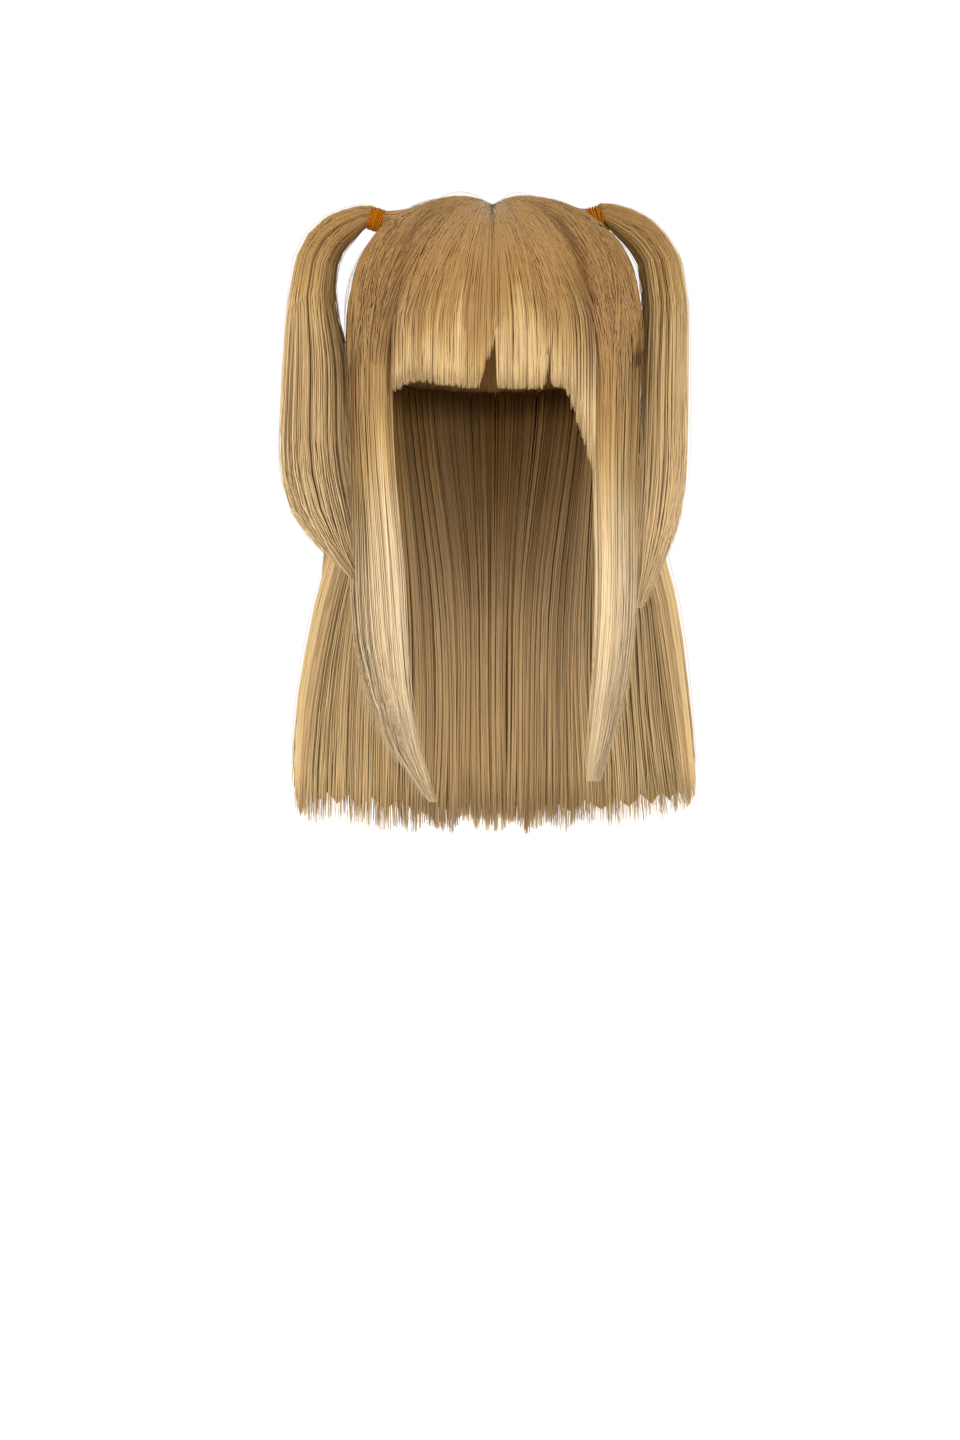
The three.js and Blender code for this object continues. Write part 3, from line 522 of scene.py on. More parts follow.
def hair_material():
    """Silky hair: paler from roots to tips, with painted shade in the creases, and fine lines along every
    strand
    """
    name = "silky_hair"
    if name in bpy.data.materials:
        return bpy.data.materials[name]
    colours = bpy.context.scene.wig_colours
    material, nodes, links, shader = new_material(name, 0.38)
    shader.inputs["Specular IOR Level"].default_value = 0.3

    def attribute(label, output="Fac"):
        node = nodes.new("ShaderNodeAttribute")
        node.attribute_name = label
        return node.outputs[output]

    ramp = nodes.new("ShaderNodeValToRGB")
    stops = ramp.color_ramp.elements
    stops[0].color = (*colours.root, 1)
    stops[1].color = (*colours.tip, 1)
    stops.new(0.5).color = (*colours.length, 1)
    links.new(attribute("pale"), ramp.inputs["Fac"])

    # Painted shade: the shade attribute mixes the painted shade colour into the hair's colour
    painted_shade = nodes.new("ShaderNodeMix")
    painted_shade.data_type = "RGBA"
    painted_shade.inputs["B"].default_value = (*colours.painted_shade, 1)
    links.new(attribute("shade"), painted_shade.inputs["Factor"])
    links.new(ramp.outputs["Color"], painted_shade.inputs["A"])

    stretch = nodes.new("ShaderNodeMapping")
    stretch.inputs["Scale"].default_value = (2.6, 0.03, 1)
    links.new(attribute("grain", "Vector"), stretch.inputs["Vector"])
    fine_lines = nodes.new("ShaderNodeTexNoise")
    fine_lines.inputs["Scale"].default_value = 1
    fine_lines.inputs["Detail"].default_value = 2
    links.new(stretch.outputs["Vector"], fine_lines.inputs["Vector"])

    brightness = nodes.new("ShaderNodeMath")
    brightness.operation = "MULTIPLY"
    for socket, source, low, high, dark, bright in (
        (0, attribute("tone"), 0, 1, 0.86, 1.13),
        (1, fine_lines.outputs["Fac"], 0.3, 0.7, 0.9, 1.09),
    ):
        value = nodes.new("ShaderNodeMapRange")
        value.inputs["From Min"].default_value = low
        value.inputs["From Max"].default_value = high
        value.inputs["To Min"].default_value = dark
        value.inputs["To Max"].default_value = bright
        links.new(source, value.inputs["Value"])
        links.new(value.outputs["Result"], brightness.inputs[socket])
    tint = nodes.new("ShaderNodeHueSaturation")
    links.new(brightness.outputs["Value"], tint.inputs["Value"])
    links.new(painted_shade.outputs["Result"], tint.inputs["Color"])
    links.new(tint.outputs["Color"], shader.inputs["Base Color"])

    bump = nodes.new("ShaderNodeBump")
    bump.inputs["Strength"].default_value = 0.35
    bump.inputs["Distance"].default_value = 0.06 * MM
    links.new(fine_lines.outputs["Fac"], bump.inputs["Height"])
    links.new(bump.outputs["Normal"], shader.inputs["Normal"])
    return material


def streaked_material(name, roughness, scale, dark, bright):
    """Two colours in streaks: the mass of hair under the strands, or the threads round an elastic"""
    if name in bpy.data.materials:
        return bpy.data.materials[name]
    material, nodes, links, shader = new_material(name, roughness)
    shader.inputs["Specular IOR Level"].default_value = 0.06
    where = nodes.new("ShaderNodeTexCoord")
    stretch = nodes.new("ShaderNodeMapping")
    stretch.inputs["Scale"].default_value = scale
    streaks = nodes.new("ShaderNodeTexNoise")
    streaks.inputs["Scale"].default_value = 1
    streaks.inputs["Detail"].default_value = 3
    ramp = nodes.new("ShaderNodeValToRGB")
    ramp.color_ramp.elements[0].position = 0.35
    ramp.color_ramp.elements[0].color = (*dark, 1)
    ramp.color_ramp.elements[1].position = 0.7
    ramp.color_ramp.elements[1].color = (*bright, 1)
    bump = nodes.new("ShaderNodeBump")
    bump.inputs["Strength"].default_value = 0.5
    bump.inputs["Distance"].default_value = 0.15 * MM
    links.new(where.outputs["Object"], stretch.inputs["Vector"])
    links.new(stretch.outputs["Vector"], streaks.inputs["Vector"])
    links.new(streaks.outputs["Fac"], ramp.inputs["Fac"])
    links.new(ramp.outputs["Color"], shader.inputs["Base Color"])
    links.new(streaks.outputs["Fac"], bump.inputs["Height"])
    links.new(bump.outputs["Normal"], shader.inputs["Normal"])
    return material


def sunk_in_horn(place):
    """Where a corner of the crown's mass goes if it is near a tie: in towards the horn's middle line"""
    for word in ("left", "right"):
        middle, axis, _ = tie_place(word)
        away = np.array(place) - middle
        if np.linalg.norm(away) < HORN_TIP_REACH:
            on_line = middle + axis * (away @ axis)
            return Vector(lerp(on_line, np.array(place), HORN_MASS_SHARE))
    return None


def mass_piece(node, slot, shrink, lowest=None, rise=0):
    """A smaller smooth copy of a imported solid, cut off or drawn up below, to fill the room under strands"""
    shell = bmesh.new()
    shell.from_mesh(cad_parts[node].data)
    bmesh.ops.remove_doubles(shell, verts=shell.verts[:], dist=0.01 * MM)
    if lowest is not None:
        cut = bmesh.ops.bisect_plane(
            shell, geom=shell.verts[:] + shell.edges[:] + shell.faces[:], dist=1e-7,
            plane_co=(0, 0, lowest), plane_no=(0, 0, -1), clear_outer=True,
        )
        rim = [edge for edge in cut["geom_cut"] if isinstance(edge, bmesh.types.BMEdge)]
        bmesh.ops.holes_fill(shell, edges=rim)
        bmesh.ops.triangulate(shell, faces=shell.faces[:])
    for _ in range(MASS_SMOOTHING):
        bmesh.ops.smooth_vert(shell, verts=shell.verts[:], factor=0.5, use_axis_x=True, use_axis_y=True)
    shell.normal_update()
    moves = []
    for corner in shell.verts:
        inward = -corner.normal * shrink
        if corner.co.z < MASS_DOME_FOOT:
            inward.z = rise * smooth(-corner.co.z / MM, *BACK_RISE_DROPS)
        near_tie = sunk_in_horn(corner.co) if node == "crown_hair" else None
        moves.append(corner.co + inward if near_tie is None else near_tie)
    for corner, place in zip(shell.verts, moves):
        corner.co = place
    mesh = bpy.data.meshes.new(f"{node}_mass")
    shell.to_mesh(mesh)
    shell.free()
    mesh.shade_smooth()
    colours = bpy.context.scene.wig_colours
    name, bright = ("hair_mass", colours.root) if slot == "crown_hair" else ("hanging_mass", colours.length)
    # The mass is streaked at 0.6 to 0.9 of the hair's colour: painted shade for the hair deep under the
    # strands
    dark = tuple(channel * 0.6 for channel in bright)
    under = streaked_material(name, 0.7, (900, 900, 25), dark, tuple(channel * 0.9 for channel in bright))
    return add_piece(f"{node}_mass", mesh, under, slot, node)


def parting_roots(rng, count, front, back):
    """Roots along the parting between two distances back from the middle of the head, in millimetres"""
    y = rng.uniform(front, back, count)
    x = rng.normal(0, 0.5, count)
    return np.stack((x, y, np.full(count, 9.0)), axis=-1) * MM


def fringe_cut_line():
    """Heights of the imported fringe's lower edge over its width"""
    low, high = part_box("fringe")
    across = np.linspace(low[0] + 1.5 * MM, high[0] - 1.5 * MM, 120)
    heights = []
    for x in across:
        front = hit_distance(FRINGE_TREE, (x, -FAR, FRINGE_FACE_HEIGHT), FRONT * -1)
        rise = None
        if front is not None:
            rise = hit_distance(FRINGE_TREE, (x, front - FAR + FRINGE_EDGE_DEPTH, -FAR), LEVEL)
        last = heights[-1] if heights else FRINGE_EDGE_START
        heights.append(last if rise is None else rise - FAR)
    return across, np.array(heights)


def fringe_strands():
    """Strands that fan from the parting over the brow to the cut line"""
    rng = np.random.default_rng(11)
    count = bpy.context.scene.wig_sizes.fringe_strands
    across, cut = fringe_cut_line()
    group = grouped(rng, count, 9, 36)
    fine = stray(rng, count, 0.02)
    x_rim = lerp(across[0], across[-1], group.place)
    x_tip = lerp(across[0], across[-1], lerp(group.place, group.middle, 0.35))
    depth = rng.uniform(0, 1.8, count) * MM + groove_depth(group) * 0.7
    ends = np.empty((count, 3))
    for i in range(count):
        front = hit_distance(COVER_TREE, (x_rim[i], -FAR, FRINGE_RIM), FRONT * -1)
        ends[i] = (x_rim[i], front - FAR + depth[i], FRINGE_RIM)
    roots = parting_roots(rng, count, -50, -14)
    crown, outward = over_crown(roots, ends, depth, CROWN_POINTS)
    bottom = np.interp(x_tip, across, cut) + rng.uniform(-0.5, 1, count) * 1.6 * MM
    bottom += rng.uniform(0, 1, count) ** 7 * 16 * MM
    steps = 4
    paths = np.empty((count, steps, 3))
    for i in range(count):
        y = ends[i, 1]
        for j in range(steps):
            t = (j + 1) / steps
            x = lerp(x_rim[i], x_tip[i], t)
            z = lerp(FRINGE_RIM, bottom[i], t)
            above = max(z, np.interp(x, across, cut) + MM)
            front = hit_distance(FRINGE_TREE, (x, -FAR, above), FRONT * -1)
            if front is not None:
                y = front - FAR + depth[i] * (1 - 0.5 * t)
            paths[i, j] = (x, y, z)
    whole = eased(np.concatenate((crown, paths), axis=1), 1, CROWN_POINTS - 2)
    points = whole.shape[1]
    whole[..., 0] += sway(rng, count, points, 0.9 * MM)
    outs = np.concatenate((outward, np.repeat(outward[:, -1:], steps, axis=1)), axis=1)
    start = 58 + group.varied(6, 5, 4)
    start -= 24 * bell(group.lock_middle - 0.61, 0.06)
    pale = smooth(-whole[..., 2] / MM, start[:, None], start[:, None] + 30) * 0.6 + 0.04
    return SimpleNamespace(
        paths=whole, outs=outs, widths=widths_of(rng, count, 0.95, fine), pale=pale, tone=group.tone,
        shade=groove_shade(group, 0.18) + crown_crease_shade(whole), tapers_from=0.94,
    )


def rounded(turn, radius):
    """Sideways and outward shares of a rounded section"""
    c, s = np.cos(turn), np.sin(turn)
    return radius * np.sign(c) * np.abs(c) ** 0.75, radius * np.sign(s) * np.abs(s) ** 0.75


def swept_paths(rows, group, radius, share, gather, first_turn):
    """Strand paths through a lock's sections, drawn towards the middles of their clumps at the tip"""
    pull = gather * smooth(share, 0.3, 1.0)
    bearing = first_turn + lerp(group.place[:, None], group.middle[:, None], pull) * 2 * math.pi
    u, v = rounded(bearing, radius)
    middle = curve_at(rows[:, 0], share)
    across = curve_at(rows[:, 1], share)
    through = curve_at(rows[:, 2], share)
    offset = across * u[..., None] + through * v[..., None]
    return middle + offset, unit(offset + 1e-9), u, v


def near_surface(rng, group, count, fine):
    """Shares of a section's radius at which strands lie: most near its surface"""
    depth = rng.uniform(0, 1, count) ** 1.6 * 0.32 + groove_depth(group) / (26 * MM)
    return np.where(fine, 1.12, 1 - depth)


def side_lock_strands(word, seed, pointed):
    """Strands of a side lock, from the parting over the crown and down to the tip"""
    rng = np.random.default_rng(seed)
    count = bpy.context.scene.wig_sizes.lock_strands
    side = -1 if word == "left" else 1
    rows = lock_sections(f"side_lock_{word}", side)
    group = grouped(rng, count, 8, 30)
    fine = stray(rng, count, 0.03)
    last = 1 - rng.uniform(0, 1, count) ** 1.4 * 0.22
    last[fine] -= rng.uniform(0, 0.4, fine.sum())
    steps = 9
    share = np.linspace(0, 1, steps)[None, :] * last[:, None]
    radius = near_surface(rng, group, count, fine)[:, None] * (1 - pointed * smooth(share, 0.8, 1.0))
    lower, out, _, _ = swept_paths(rows, group, radius, share, 0.4, 0)
    roots = parting_roots(rng, count, -38, 22)
    crown, outward = over_crown(roots, lower[:, 0], 5 * MM * (1 - radius[:, 0]), CROWN_POINTS)
    whole = eased(np.concatenate((crown[:, :-1], lower), axis=1), 2, CROWN_POINTS - 2)
    points = whole.shape[1]
    wander = sway(rng, count, points, 1.3 * MM) * np.where(fine, 2.5, 1)[:, None]
    whole += wander[..., None] * np.array((1.0, 0.3, 0.0))
    outs = np.concatenate((outward[:, :-1], out), axis=1)
    outs[:, CROWN_POINTS - 2] = unit(outs[:, CROWN_POINTS - 3] + outs[:, CROWN_POINTS])
    start = 66 + group.varied(12, 8, 6)
    pale = smooth(-whole[..., 2] / MM, start[:, None], start[:, None] + 150)
    return SimpleNamespace(
        paths=whole, outs=outs, widths=widths_of(rng, count, 1.0, fine), pale=pale, tone=group.tone,
        shade=groove_shade(group, 0.16) + crown_crease_shade(whole), tapers_from=0.78,
    )


def pigtail_strands(word, seed):
    """Strands of a pigtail, from its tie over the arch and down to the tip"""
    rng = np.random.default_rng(seed)
    count = bpy.context.scene.wig_sizes.pigtail_strands
    rows = tail_sections(word)
    group = grouped(rng, count, 9, 34)
    fine = stray(rng, count, 0.02)
    last = 1 - rng.uniform(0, 1, count) ** 1.5 * 0.26
    points = 16
    share = np.linspace(0, 1, points)[None, :] * last[:, None]
    radius = near_surface(rng, group, count, fine)[:, None] * (1 - 0.5 * smooth(share, 0.86, 1.0))
    paths, outs, u, v = swept_paths(rows, group, radius, share, 0.3, math.pi)
    wander = sway(rng, count, points, 1.3 * MM) * np.where(fine, 2, 1)[:, None]
    paths += wander[..., None] * np.array((1.0, 0.5, 0.2))
    start = group.varied(9, 7, 6)
    fall = -paths[..., 2] / MM
    pale = 0.14 + 0.48 * smooth(fall, start[:, None], start[:, None] + 65) + 0.12 * smooth(fall, 90, 200)
    # Painted shade: the pigtail's inner side, towards the head, and a fold line down the front of the arch
    # are darkened
    inner_side_shade = 0.42 * smooth(-u, 0.25, 0.85) * smooth(share, 0.1, 0.25) * (1 - smooth(share, 0.55, 0.8))
    fold_shade = 0.4 * bell(u - 0.12, 0.08) * (v > 0) * smooth(share, 0.08, 0.2) * (1 - smooth(share, 0.45, 0.65))
    return SimpleNamespace(
        # Tone raised by 0.25 as painted light, as the softboxes light the pigtails' sides less than the face
        paths=paths, outs=outs, widths=widths_of(rng, count, 0.95, fine), pale=pale, tone=group.tone + 0.25,
        shade=np.clip(groove_shade(group, 0.2) + inner_side_shade + fold_shade, 0, 0.9), tapers_from=0.86,
    )


def back_edges():
    """Bearings of the back hair's two free edges at its levels, seen from its axis"""
    lefts, rights = [], []
    for height in BACK_LEVELS:
        points = cut_points("back_hair", np.array((0, 0, height)) * MM, LEVEL, 1.0)
        bearing = np.arctan2(points[:, 0], points[:, 1] - BACK_AXIS_DISTANCE)
        lefts.append(bearing.min())
        rights.append(bearing.max())
    return np.array(lefts), np.array(rights)


def back_bottom(bearing):
    """Height of the back hair's uneven lower edge at a bearing"""
    corners = np.array([v.co[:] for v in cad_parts["back_hair"].data.vertices])
    corners = corners[corners[:, 2] < -332 * MM]
    turns = np.arctan2(corners[:, 0], corners[:, 1] - BACK_AXIS_DISTANCE)
    bins = np.linspace(turns.min(), turns.max(), 36)
    which = np.digitize(turns, bins)
    filled = [i for i in range(1, 37) if (which == i).any()]
    return np.interp(bearing, bins[np.array(filled) - 1], [corners[which == i, 2].min() for i in filled])


def back_paths(place, depth, layer, bottom, edges):
    """Hanging part of the back hair's strands, from its outside (layer 0) to its inside (layer 1)"""
    levels = np.array(BACK_LEVELS) * MM
    count, points = place.shape
    paths = np.empty((count, points, 3))
    outs = np.empty_like(paths)
    for i in range(count):
        outer, inner = 100 * MM, 90 * MM
        for j, t in enumerate(np.linspace(0, 1, points)):
            z = lerp(levels[0], bottom[i], t)
            left = np.interp(-z, -levels, edges[0])
            right = np.interp(-z, -levels, edges[1])
            bearing = lerp(left, right, 0.008 + 0.984 * place[i, j])
            direction = np.array((math.sin(bearing), math.cos(bearing), 0.0))
            axis = np.array((0, BACK_AXIS_DISTANCE, max(z, bottom[i] + 6 * MM)))
            found = hit_distance(BACK_TREE, axis + direction * FAR, -direction)
            outer = outer if found is None else FAR - found
            if layer[i] > 0:
                found = hit_distance(BACK_TREE, axis, direction)
                inner = inner if found is None else found
            radius = lerp(outer - depth[i], inner + depth[i], layer[i])
            paths[i, j] = axis + direction * radius
            paths[i, j, 2] = z
            outs[i, j] = direction * (1 - 2 * layer[i])
    return paths, outs


def back_strands(inner):
    """Strands down the back: from the crown on the outside, or from its rim on the inside and the edges"""
    rng = np.random.default_rng(23 if inner else 29)
    sizes = bpy.context.scene.wig_sizes
    count = sizes.inner_strands if inner else sizes.back_strands
    group = grouped(rng, count, BACK_LOCKS, BACK_CLUMPS)
    fine = stray(rng, count, 0.015)
    points = 9
    share = np.linspace(0, 1, points)
    locks_phase = rng.uniform(0, 2 * math.pi, BACK_LOCKS)[group.lock][:, None]
    wave = np.sin(locks_phase + 2 * math.pi * 1.3 * share)
    drift = lerp(group.place[:, None], group.middle[:, None], 0.3 * smooth(share, 0.3, 1))
    drift = drift + 0.008 * wave * smooth(share, 0.25, 1) + sway(rng, count, points, 0.005)
    layer = np.full(count, 1.0 if inner else 0.0)
    if inner:
        at_edge = np.arange(count) < count // 5
        drift[at_edge] = (np.arange(count)[at_edge] % 2)[:, None] + rng.normal(0, 0.007, (at_edge.sum(), 1))
        layer[at_edge] = group.place[at_edge] * 5 % 1
    drift = np.clip(drift, 0, 1)
    depth = rng.uniform(0, 2.6, count) * MM + groove_depth(group)
    depth[fine] = -1.5 * MM
    edges = back_edges()
    bottom = back_bottom(lerp(edges[0][-1], edges[1][-1], drift[:, -1]))
    bottom += rng.uniform(0, 1, count) ** 3 * 17 * MM + group.varied(1.6, 1.2, 0.8) * MM
    lower, out = back_paths(drift, depth, layer, bottom, edges)
    if inner:
        out[at_edge] = unit(FRONT + rng.normal(0, 0.6, (at_edge.sum(), 1, 3)) * (1, 0.2, 0))
        crown, outward = lower[:, :1] + LEVEL * 14 * MM, out[:, :1]
    else:
        sideways = np.abs(group.place - 0.5) * 2
        roots = parting_roots(rng, count, 5, 45)
        roots[:, 1] -= smooth(sideways, 0.55, 1.0) * 45 * MM
        crown, outward = over_crown(roots, lower[:, 0], depth, CROWN_POINTS)
        crown, outward = crown[:, :-1], outward[:, :-1]
    whole = eased(np.concatenate((crown, lower), axis=1), 2, 1 if inner else CROWN_POINTS - 2)
    start = 70 + group.varied(16, 10, 8)
    pale = 0.05 + 0.6 * smooth(-whole[..., 2] / MM, start[:, None], start[:, None] + 110)
    # Painted shade: the inside strands are darkened, less towards the free edges
    sides = smooth(np.abs(group.place - 0.5) * 2, 0.45, 0.8)
    shade = groove_shade(group, 0.16) + (0.5 * (layer > 0.5) * (1 - sides))[:, None]
    return SimpleNamespace(
        # Tone raised by 0.2 as painted light, as the softboxes light the back hair's sides less than the face
        paths=whole, outs=np.concatenate((outward, out), axis=1), tone=group.tone + 0.2, pale=pale,
        widths=widths_of(rng, count, 1.15, fine), shade=shade, tapers_from=0.965,
    )


def gathered_strands(word, seed):
    """Strands drawn to a tie: from the parting above it, and up from the side of the head below it"""
    rng = np.random.default_rng(seed)
    count = bpy.context.scene.wig_sizes.gathered_strands
    middle, axis, lift = tie_place(word)
    group = grouped(rng, count, 10, 30)
    fine = stray(rng, count, 0.03)
    turn = (group.place * 2 - 1) * math.pi
    up, ahead = np.cos(turn), np.sin(turn)
    spread = up[:, None] * lift + ahead[:, None] * FRONT
    depth = rng.uniform(0, 1.2, count) * MM + groove_depth(group) * 0.6
    tip = middle - axis * TIE_HALF_BAND
    horn = np.empty((count, len(HORN_INWARD), 3))
    for j, (inward, radius) in enumerate(zip(HORN_INWARD, HORN_RADIUS)):
        offset = spread * (radius - depth)[:, None]
        offset[:, 1] *= 1 + HORN_FAN * max(inward, 0)
        horn[:, j] = tip - axis * inward + offset
    for i in range(count):
        for j in range(len(HORN_INWARD)):
            away = horn[i, j] - HEAD_MIDDLE
            direction = away / np.linalg.norm(away)
            reach = crown_reach(direction) - depth[i]
            if np.linalg.norm(away) < reach and HORN_INWARD[j] > 8 * MM:
                horn[i, j] = HEAD_MIDDLE + direction * reach
    roots = parting_roots(rng, count, -4, 4)
    roots[:, 1] += lerp(30, -42, (ahead + 1) / 2) * MM
    below = up < SWEPT_UP_BELOW
    side = np.sign(axis[0])
    low_roots = np.stack((
        np.full(count, side * LOW_ROOTS_OUT), -LOW_ROOTS_AHEAD * ahead + rng.normal(0, 6, count),
        rng.uniform(*LOW_ROOTS_HEIGHTS, count),
    ), axis=-1) * MM
    roots[below] = low_roots[below]
    crown, outward = over_crown(roots, horn[:, 0], depth, CROWN_POINTS)
    sunk = 3 * MM * (1 - smooth(np.arange(CROWN_POINTS), 0, 5)) * below[:, None]
    loose = LOOSE_LIFT * fine[:, None] * np.sin(np.linspace(0, math.pi, CROWN_POINTS))
    crown += outward * (loose - sunk)[..., None]
    whole = eased(np.concatenate((crown[:, :-1], horn), axis=1), 1, CROWN_POINTS - 2)
    count, points, _ = whole.shape
    outs = np.concatenate((outward[:, :-1], np.repeat(spread[:, None], len(HORN_INWARD), axis=1)), axis=1)
    share = np.linspace(0, 1, points)
    # Painted shade: the strands darken over their last share, where they go into the tie
    shade = groove_shade(group, 0.3) + 0.3 * smooth(share, 0.85, 1.0)
    return SimpleNamespace(
        paths=whole, outs=outs, widths=widths_of(rng, count, 0.85, fine), pale=np.full((count, points), 0.05),
        tone=group.tone, shade=shade, tapers_from=0.9,
    )


def wound_tie(word, fan):
    """An elastic wound side by side round the gathered hair. Its turns fan out towards the top."""
    middle, axis, lift = tie_place(word)
    rng = np.random.default_rng(61 if word == "left" else 67)
    mesh = bpy.data.meshes.new(f"hair_tie_{word}_windings")
    turns = bmesh.new()
    for share in np.linspace(-1, 1, TIE_TURNS):
        turn = elastic_turn(share, fan, rng)
        turns.from_mesh(turn)
        bpy.data.meshes.remove(turn)
    place = Matrix((
        (lift[0], FRONT[0], axis[0], middle[0]), (lift[1], FRONT[1], axis[1], middle[1]),
        (lift[2], FRONT[2], axis[2], middle[2]), (0, 0, 0, 1),
    ))
    bmesh.ops.transform(turns, matrix=place, verts=turns.verts[:])
    bmesh.ops.recalc_face_normals(turns, faces=turns.faces[:])
    turns.to_mesh(mesh)
    turns.free()
    mesh.shade_smooth()
    return mesh


def elastic_turn(share, fan, rng):
    """One closed turn of elastic, at its share of the band's width, with its top up local X"""
    turn = bmesh.new()
    ring = bmesh.ops.create_circle(turn, cap_ends=False, radius=ELASTIC_HALF_WIDTH, segments=8)["verts"]
    flatten = Matrix.Diagonal((ELASTIC_HALF_THICKNESS / ELASTIC_HALF_WIDTH, 1, 1, 1))
    stand = Matrix.Rotation(math.pi / 2, 4, "X")
    out = Matrix.Translation((TIE_WOUND_RADIUS + rng.uniform(-0.15, 0.25) * MM, 0, 0))
    bmesh.ops.transform(turn, matrix=out @ stand @ flatten, verts=ring)
    bmesh.ops.spin(
        turn, geom=turn.verts[:] + turn.edges[:], cent=(0, 0, 0), axis=(0, 0, 1), dvec=(0, 0, 0),
        angle=2 * math.pi, steps=36, use_merge=True,
    )
    bmesh.ops.remove_doubles(turn, verts=turn.verts[:], dist=0.001 * MM)
    lean = rng.uniform(-0.05, 0.05)
    reach = share * (TIE_HALF_BAND - ELASTIC_HALF_WIDTH)
    for corner in turn.verts:
        high = corner.co.x / TIE_WOUND_RADIUS
        corner.co.z += reach * (1 + fan * high) + lean * corner.co.y
    mesh = bpy.data.meshes.new("elastic_turn")
    turn.to_mesh(mesh)
    turn.free()
    return mesh


class WIG_OT_crown(bpy.types.Operator):
    """Covers the crown with the hair drawn to the ties, over its smooth mass"""
    bl_idname = "wig.crown"
    bl_label = "Crown"

    def execute(self, context):
        mass_piece("crown_hair", "crown_hair", CROWN_MASS_DEPTH)
        for word, seed in (("left", 31), ("right", 37)):
            mesh = strand_mesh(f"gathered_hair_{word}", gathered_strands(word, seed))
            add_piece(mesh.name, mesh, hair_material(), "crown_hair")
        return {"FINISHED"}


class WIG_OT_fringe(bpy.types.Operator):
    """Makes the blunt fringe"""
    bl_idname = "wig.fringe"
    bl_label = "Fringe"

    def execute(self, context):
        mass_piece("fringe", "pale_hair", FRINGE_MASS_DEPTH, lowest=FRINGE_RIM)
        mesh = strand_mesh("fringe_strands", fringe_strands())
        add_piece(mesh.name, mesh, hair_material(), "pale_hair")
        return {"FINISHED"}


class WIG_OT_side_locks(bpy.types.Operator):
    """Makes the two long locks that frame the face"""
    bl_idname = "wig.side_locks"
    bl_label = "Side locks"

    def execute(self, context):
        for word, seed, pointed in (("left", 41, 0.8), ("right", 43, 0.62)):
            mass_piece(f"side_lock_{word}", "pale_hair", LOCK_MASS_DEPTH, lowest=LOCK_MASS_BOTTOM)
            mesh = strand_mesh(f"side_lock_{word}_strands", side_lock_strands(word, seed, pointed))
            add_piece(mesh.name, mesh, hair_material(), "pale_hair")
        return {"FINISHED"}


class WIG_OT_back_hair(bpy.types.Operator):
    """Makes the long hair down the back, outside and inside"""
    bl_idname = "wig.back_hair"
    bl_label = "Back hair"

    def execute(self, context):
        mass_piece("back_hair", "back_hair", BACK_MASS_DEPTH, rise=BACK_MASS_RISE)
        for name, inner in (("back_hair_strands", False), ("back_hair_inner_strands", True)):
            mesh = strand_mesh(name, back_strands(inner))
            add_piece(name, mesh, hair_material(), "back_hair")
        return {"FINISHED"}


class WIG_OT_pigtails(bpy.types.Operator):
    """Makes the two high pigtails"""
    bl_idname = "wig.pigtails"
    bl_label = "Pigtails"

    def execute(self, context):
        for word, seed in (("left", 51), ("right", 53)):
            mass_piece(f"pigtail_{word}", "pigtail_hair", PIGTAIL_MASS_DEPTH, lowest=PIGTAIL_MASS_BOTTOM)
            mesh = strand_mesh(f"pigtail_{word}_strands", pigtail_strands(word, seed))
            add_piece(mesh.name, mesh, hair_material(), "pigtail_hair")
        return {"FINISHED"}


class WIG_OT_hair_ties(bpy.types.Operator):
    """Winds an elastic round each gathered bunch"""
    bl_idname = "wig.hair_ties"
    bl_label = "Hair ties"

    def execute(self, context):
        elastic = context.scene.wig_colours.elastic
        dark = tuple(channel * 0.45 for channel in elastic)
        threads = streaked_material("elastic_threads", 0.6, (2600, 2600, 2600), dark, elastic)
        for word, fan in (("left", 0.15), ("right", 0.55)):
            mesh = wound_tie(word, fan)
            add_piece(mesh.name, mesh, threads, "elastic", f"hair_tie_{word}")
        return {"FINISHED"}


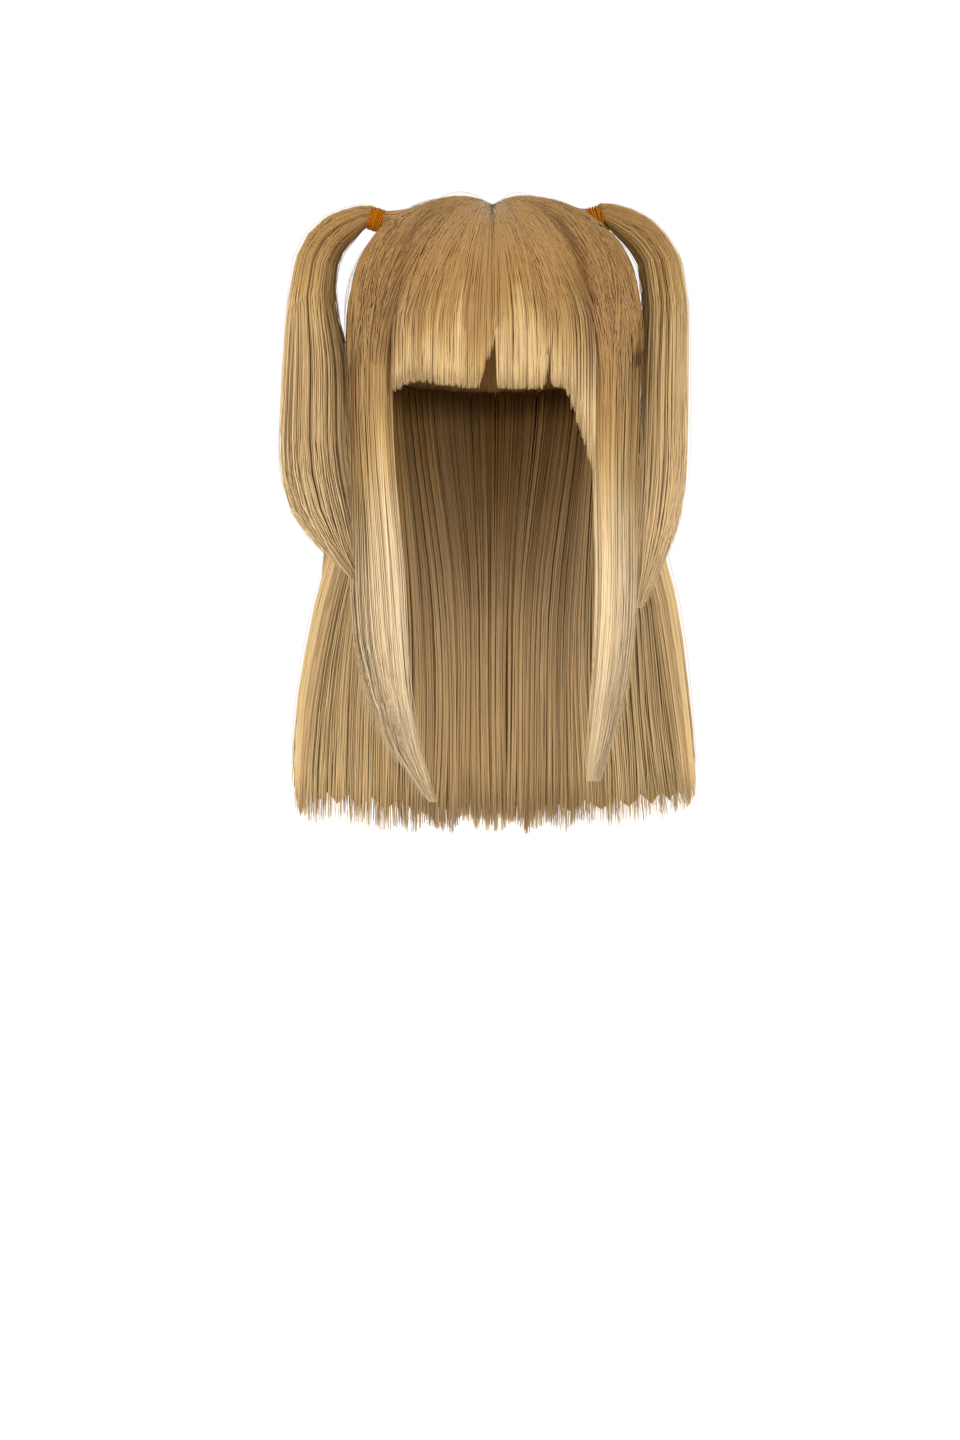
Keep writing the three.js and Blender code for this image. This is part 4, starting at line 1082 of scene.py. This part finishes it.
class WIG_OT_stage(bpy.types.Operator):
    """Sets the pale floor, the soft studio light and the camera"""
    bl_idname = "wig.stage"
    bl_label = "Stage"

    def execute(self, context):
        scene = context.scene
        shape = bmesh.new()
        bmesh.ops.create_circle(shape, cap_ends=True, radius=FLOOR_RADIUS, segments=64)
        bmesh.ops.translate(shape, verts=shape.verts[:], vec=(0, 0, FLOOR_HEIGHT))
        mesh = bpy.data.meshes.new("floor")
        shape.to_mesh(mesh)
        shape.free()
        floor = bpy.data.objects.new("floor", mesh)
        scene.collection.objects.link(floor)
        paint, _, _, shader = new_material("pale_floor", 0.9)
        shader.inputs["Base Color"].default_value = (0.9, 0.9, 0.9, 1)
        shader.inputs["Emission Color"].default_value = (1, 1, 1, 1)
        shader.inputs["Emission Strength"].default_value = 0.35
        mesh.materials.append(paint)

        world = bpy.data.worlds.new("studio")
        world.use_nodes = True
        sky = world.node_tree.nodes["Background"]
        sky.inputs["Color"].default_value = (1, 1, 1, 1)
        sky.inputs["Strength"].default_value = 1.0
        scene.world = world
        scene.view_settings.view_transform = "Standard"

        for name, place, power in SOFTBOXES:
            light = bpy.data.lights.new(name, "AREA")
            light.energy = power
            light.size = SOFTBOX_SIZE
            lamp = bpy.data.objects.new(name, light)
            lamp.location = place
            aim = Vector(WIG_MIDDLE) - lamp.location
            lamp.rotation_euler = aim.to_track_quat("-Z", "Y").to_euler()
            scene.collection.objects.link(lamp)

        lens = bpy.data.cameras.new("camera")
        lens.sensor_width = CAMERA_SENSOR
        lens.lens = CAMERA_LENS
        camera = bpy.data.objects.new("camera", lens)
        camera.location = CAMERA_PLACE
        camera.rotation_euler = (math.pi / 2, 0, 0)
        scene.collection.objects.link(camera)
        scene.camera = camera
        return {"FINISHED"}


STEPS = (
    WIG_OT_crown, WIG_OT_fringe, WIG_OT_side_locks, WIG_OT_back_hair, WIG_OT_pigtails, WIG_OT_hair_ties,
    WIG_OT_stage,
)


class WIG_PT_panel(bpy.types.Panel):
    """Lists the wig's pieces in the sidebar"""
    bl_label = "Pigtail wig"
    bl_space_type = "VIEW_3D"
    bl_region_type = "UI"
    bl_category = "Wig"

    def draw(self, context):
        for step in STEPS:
            self.layout.operator(step.bl_idname)


CLASSES = (WigSizes, WigColours, *STEPS, WIG_PT_panel)


def register():
    for cls in CLASSES:
        bpy.utils.register_class(cls)
    bpy.types.Scene.wig_sizes = bpy.props.PointerProperty(type=WigSizes)
    bpy.types.Scene.wig_colours = bpy.props.PointerProperty(type=WigColours)


def unregister():
    del bpy.types.Scene.wig_colours
    del bpy.types.Scene.wig_sizes
    for cls in reversed(CLASSES):
        bpy.utils.unregister_class(cls)


def main():
    register()
    for step in STEPS:
        area, name = step.bl_idname.split(".")
        getattr(getattr(bpy.ops, area), name)()


if __name__ == "__main__":
    main()
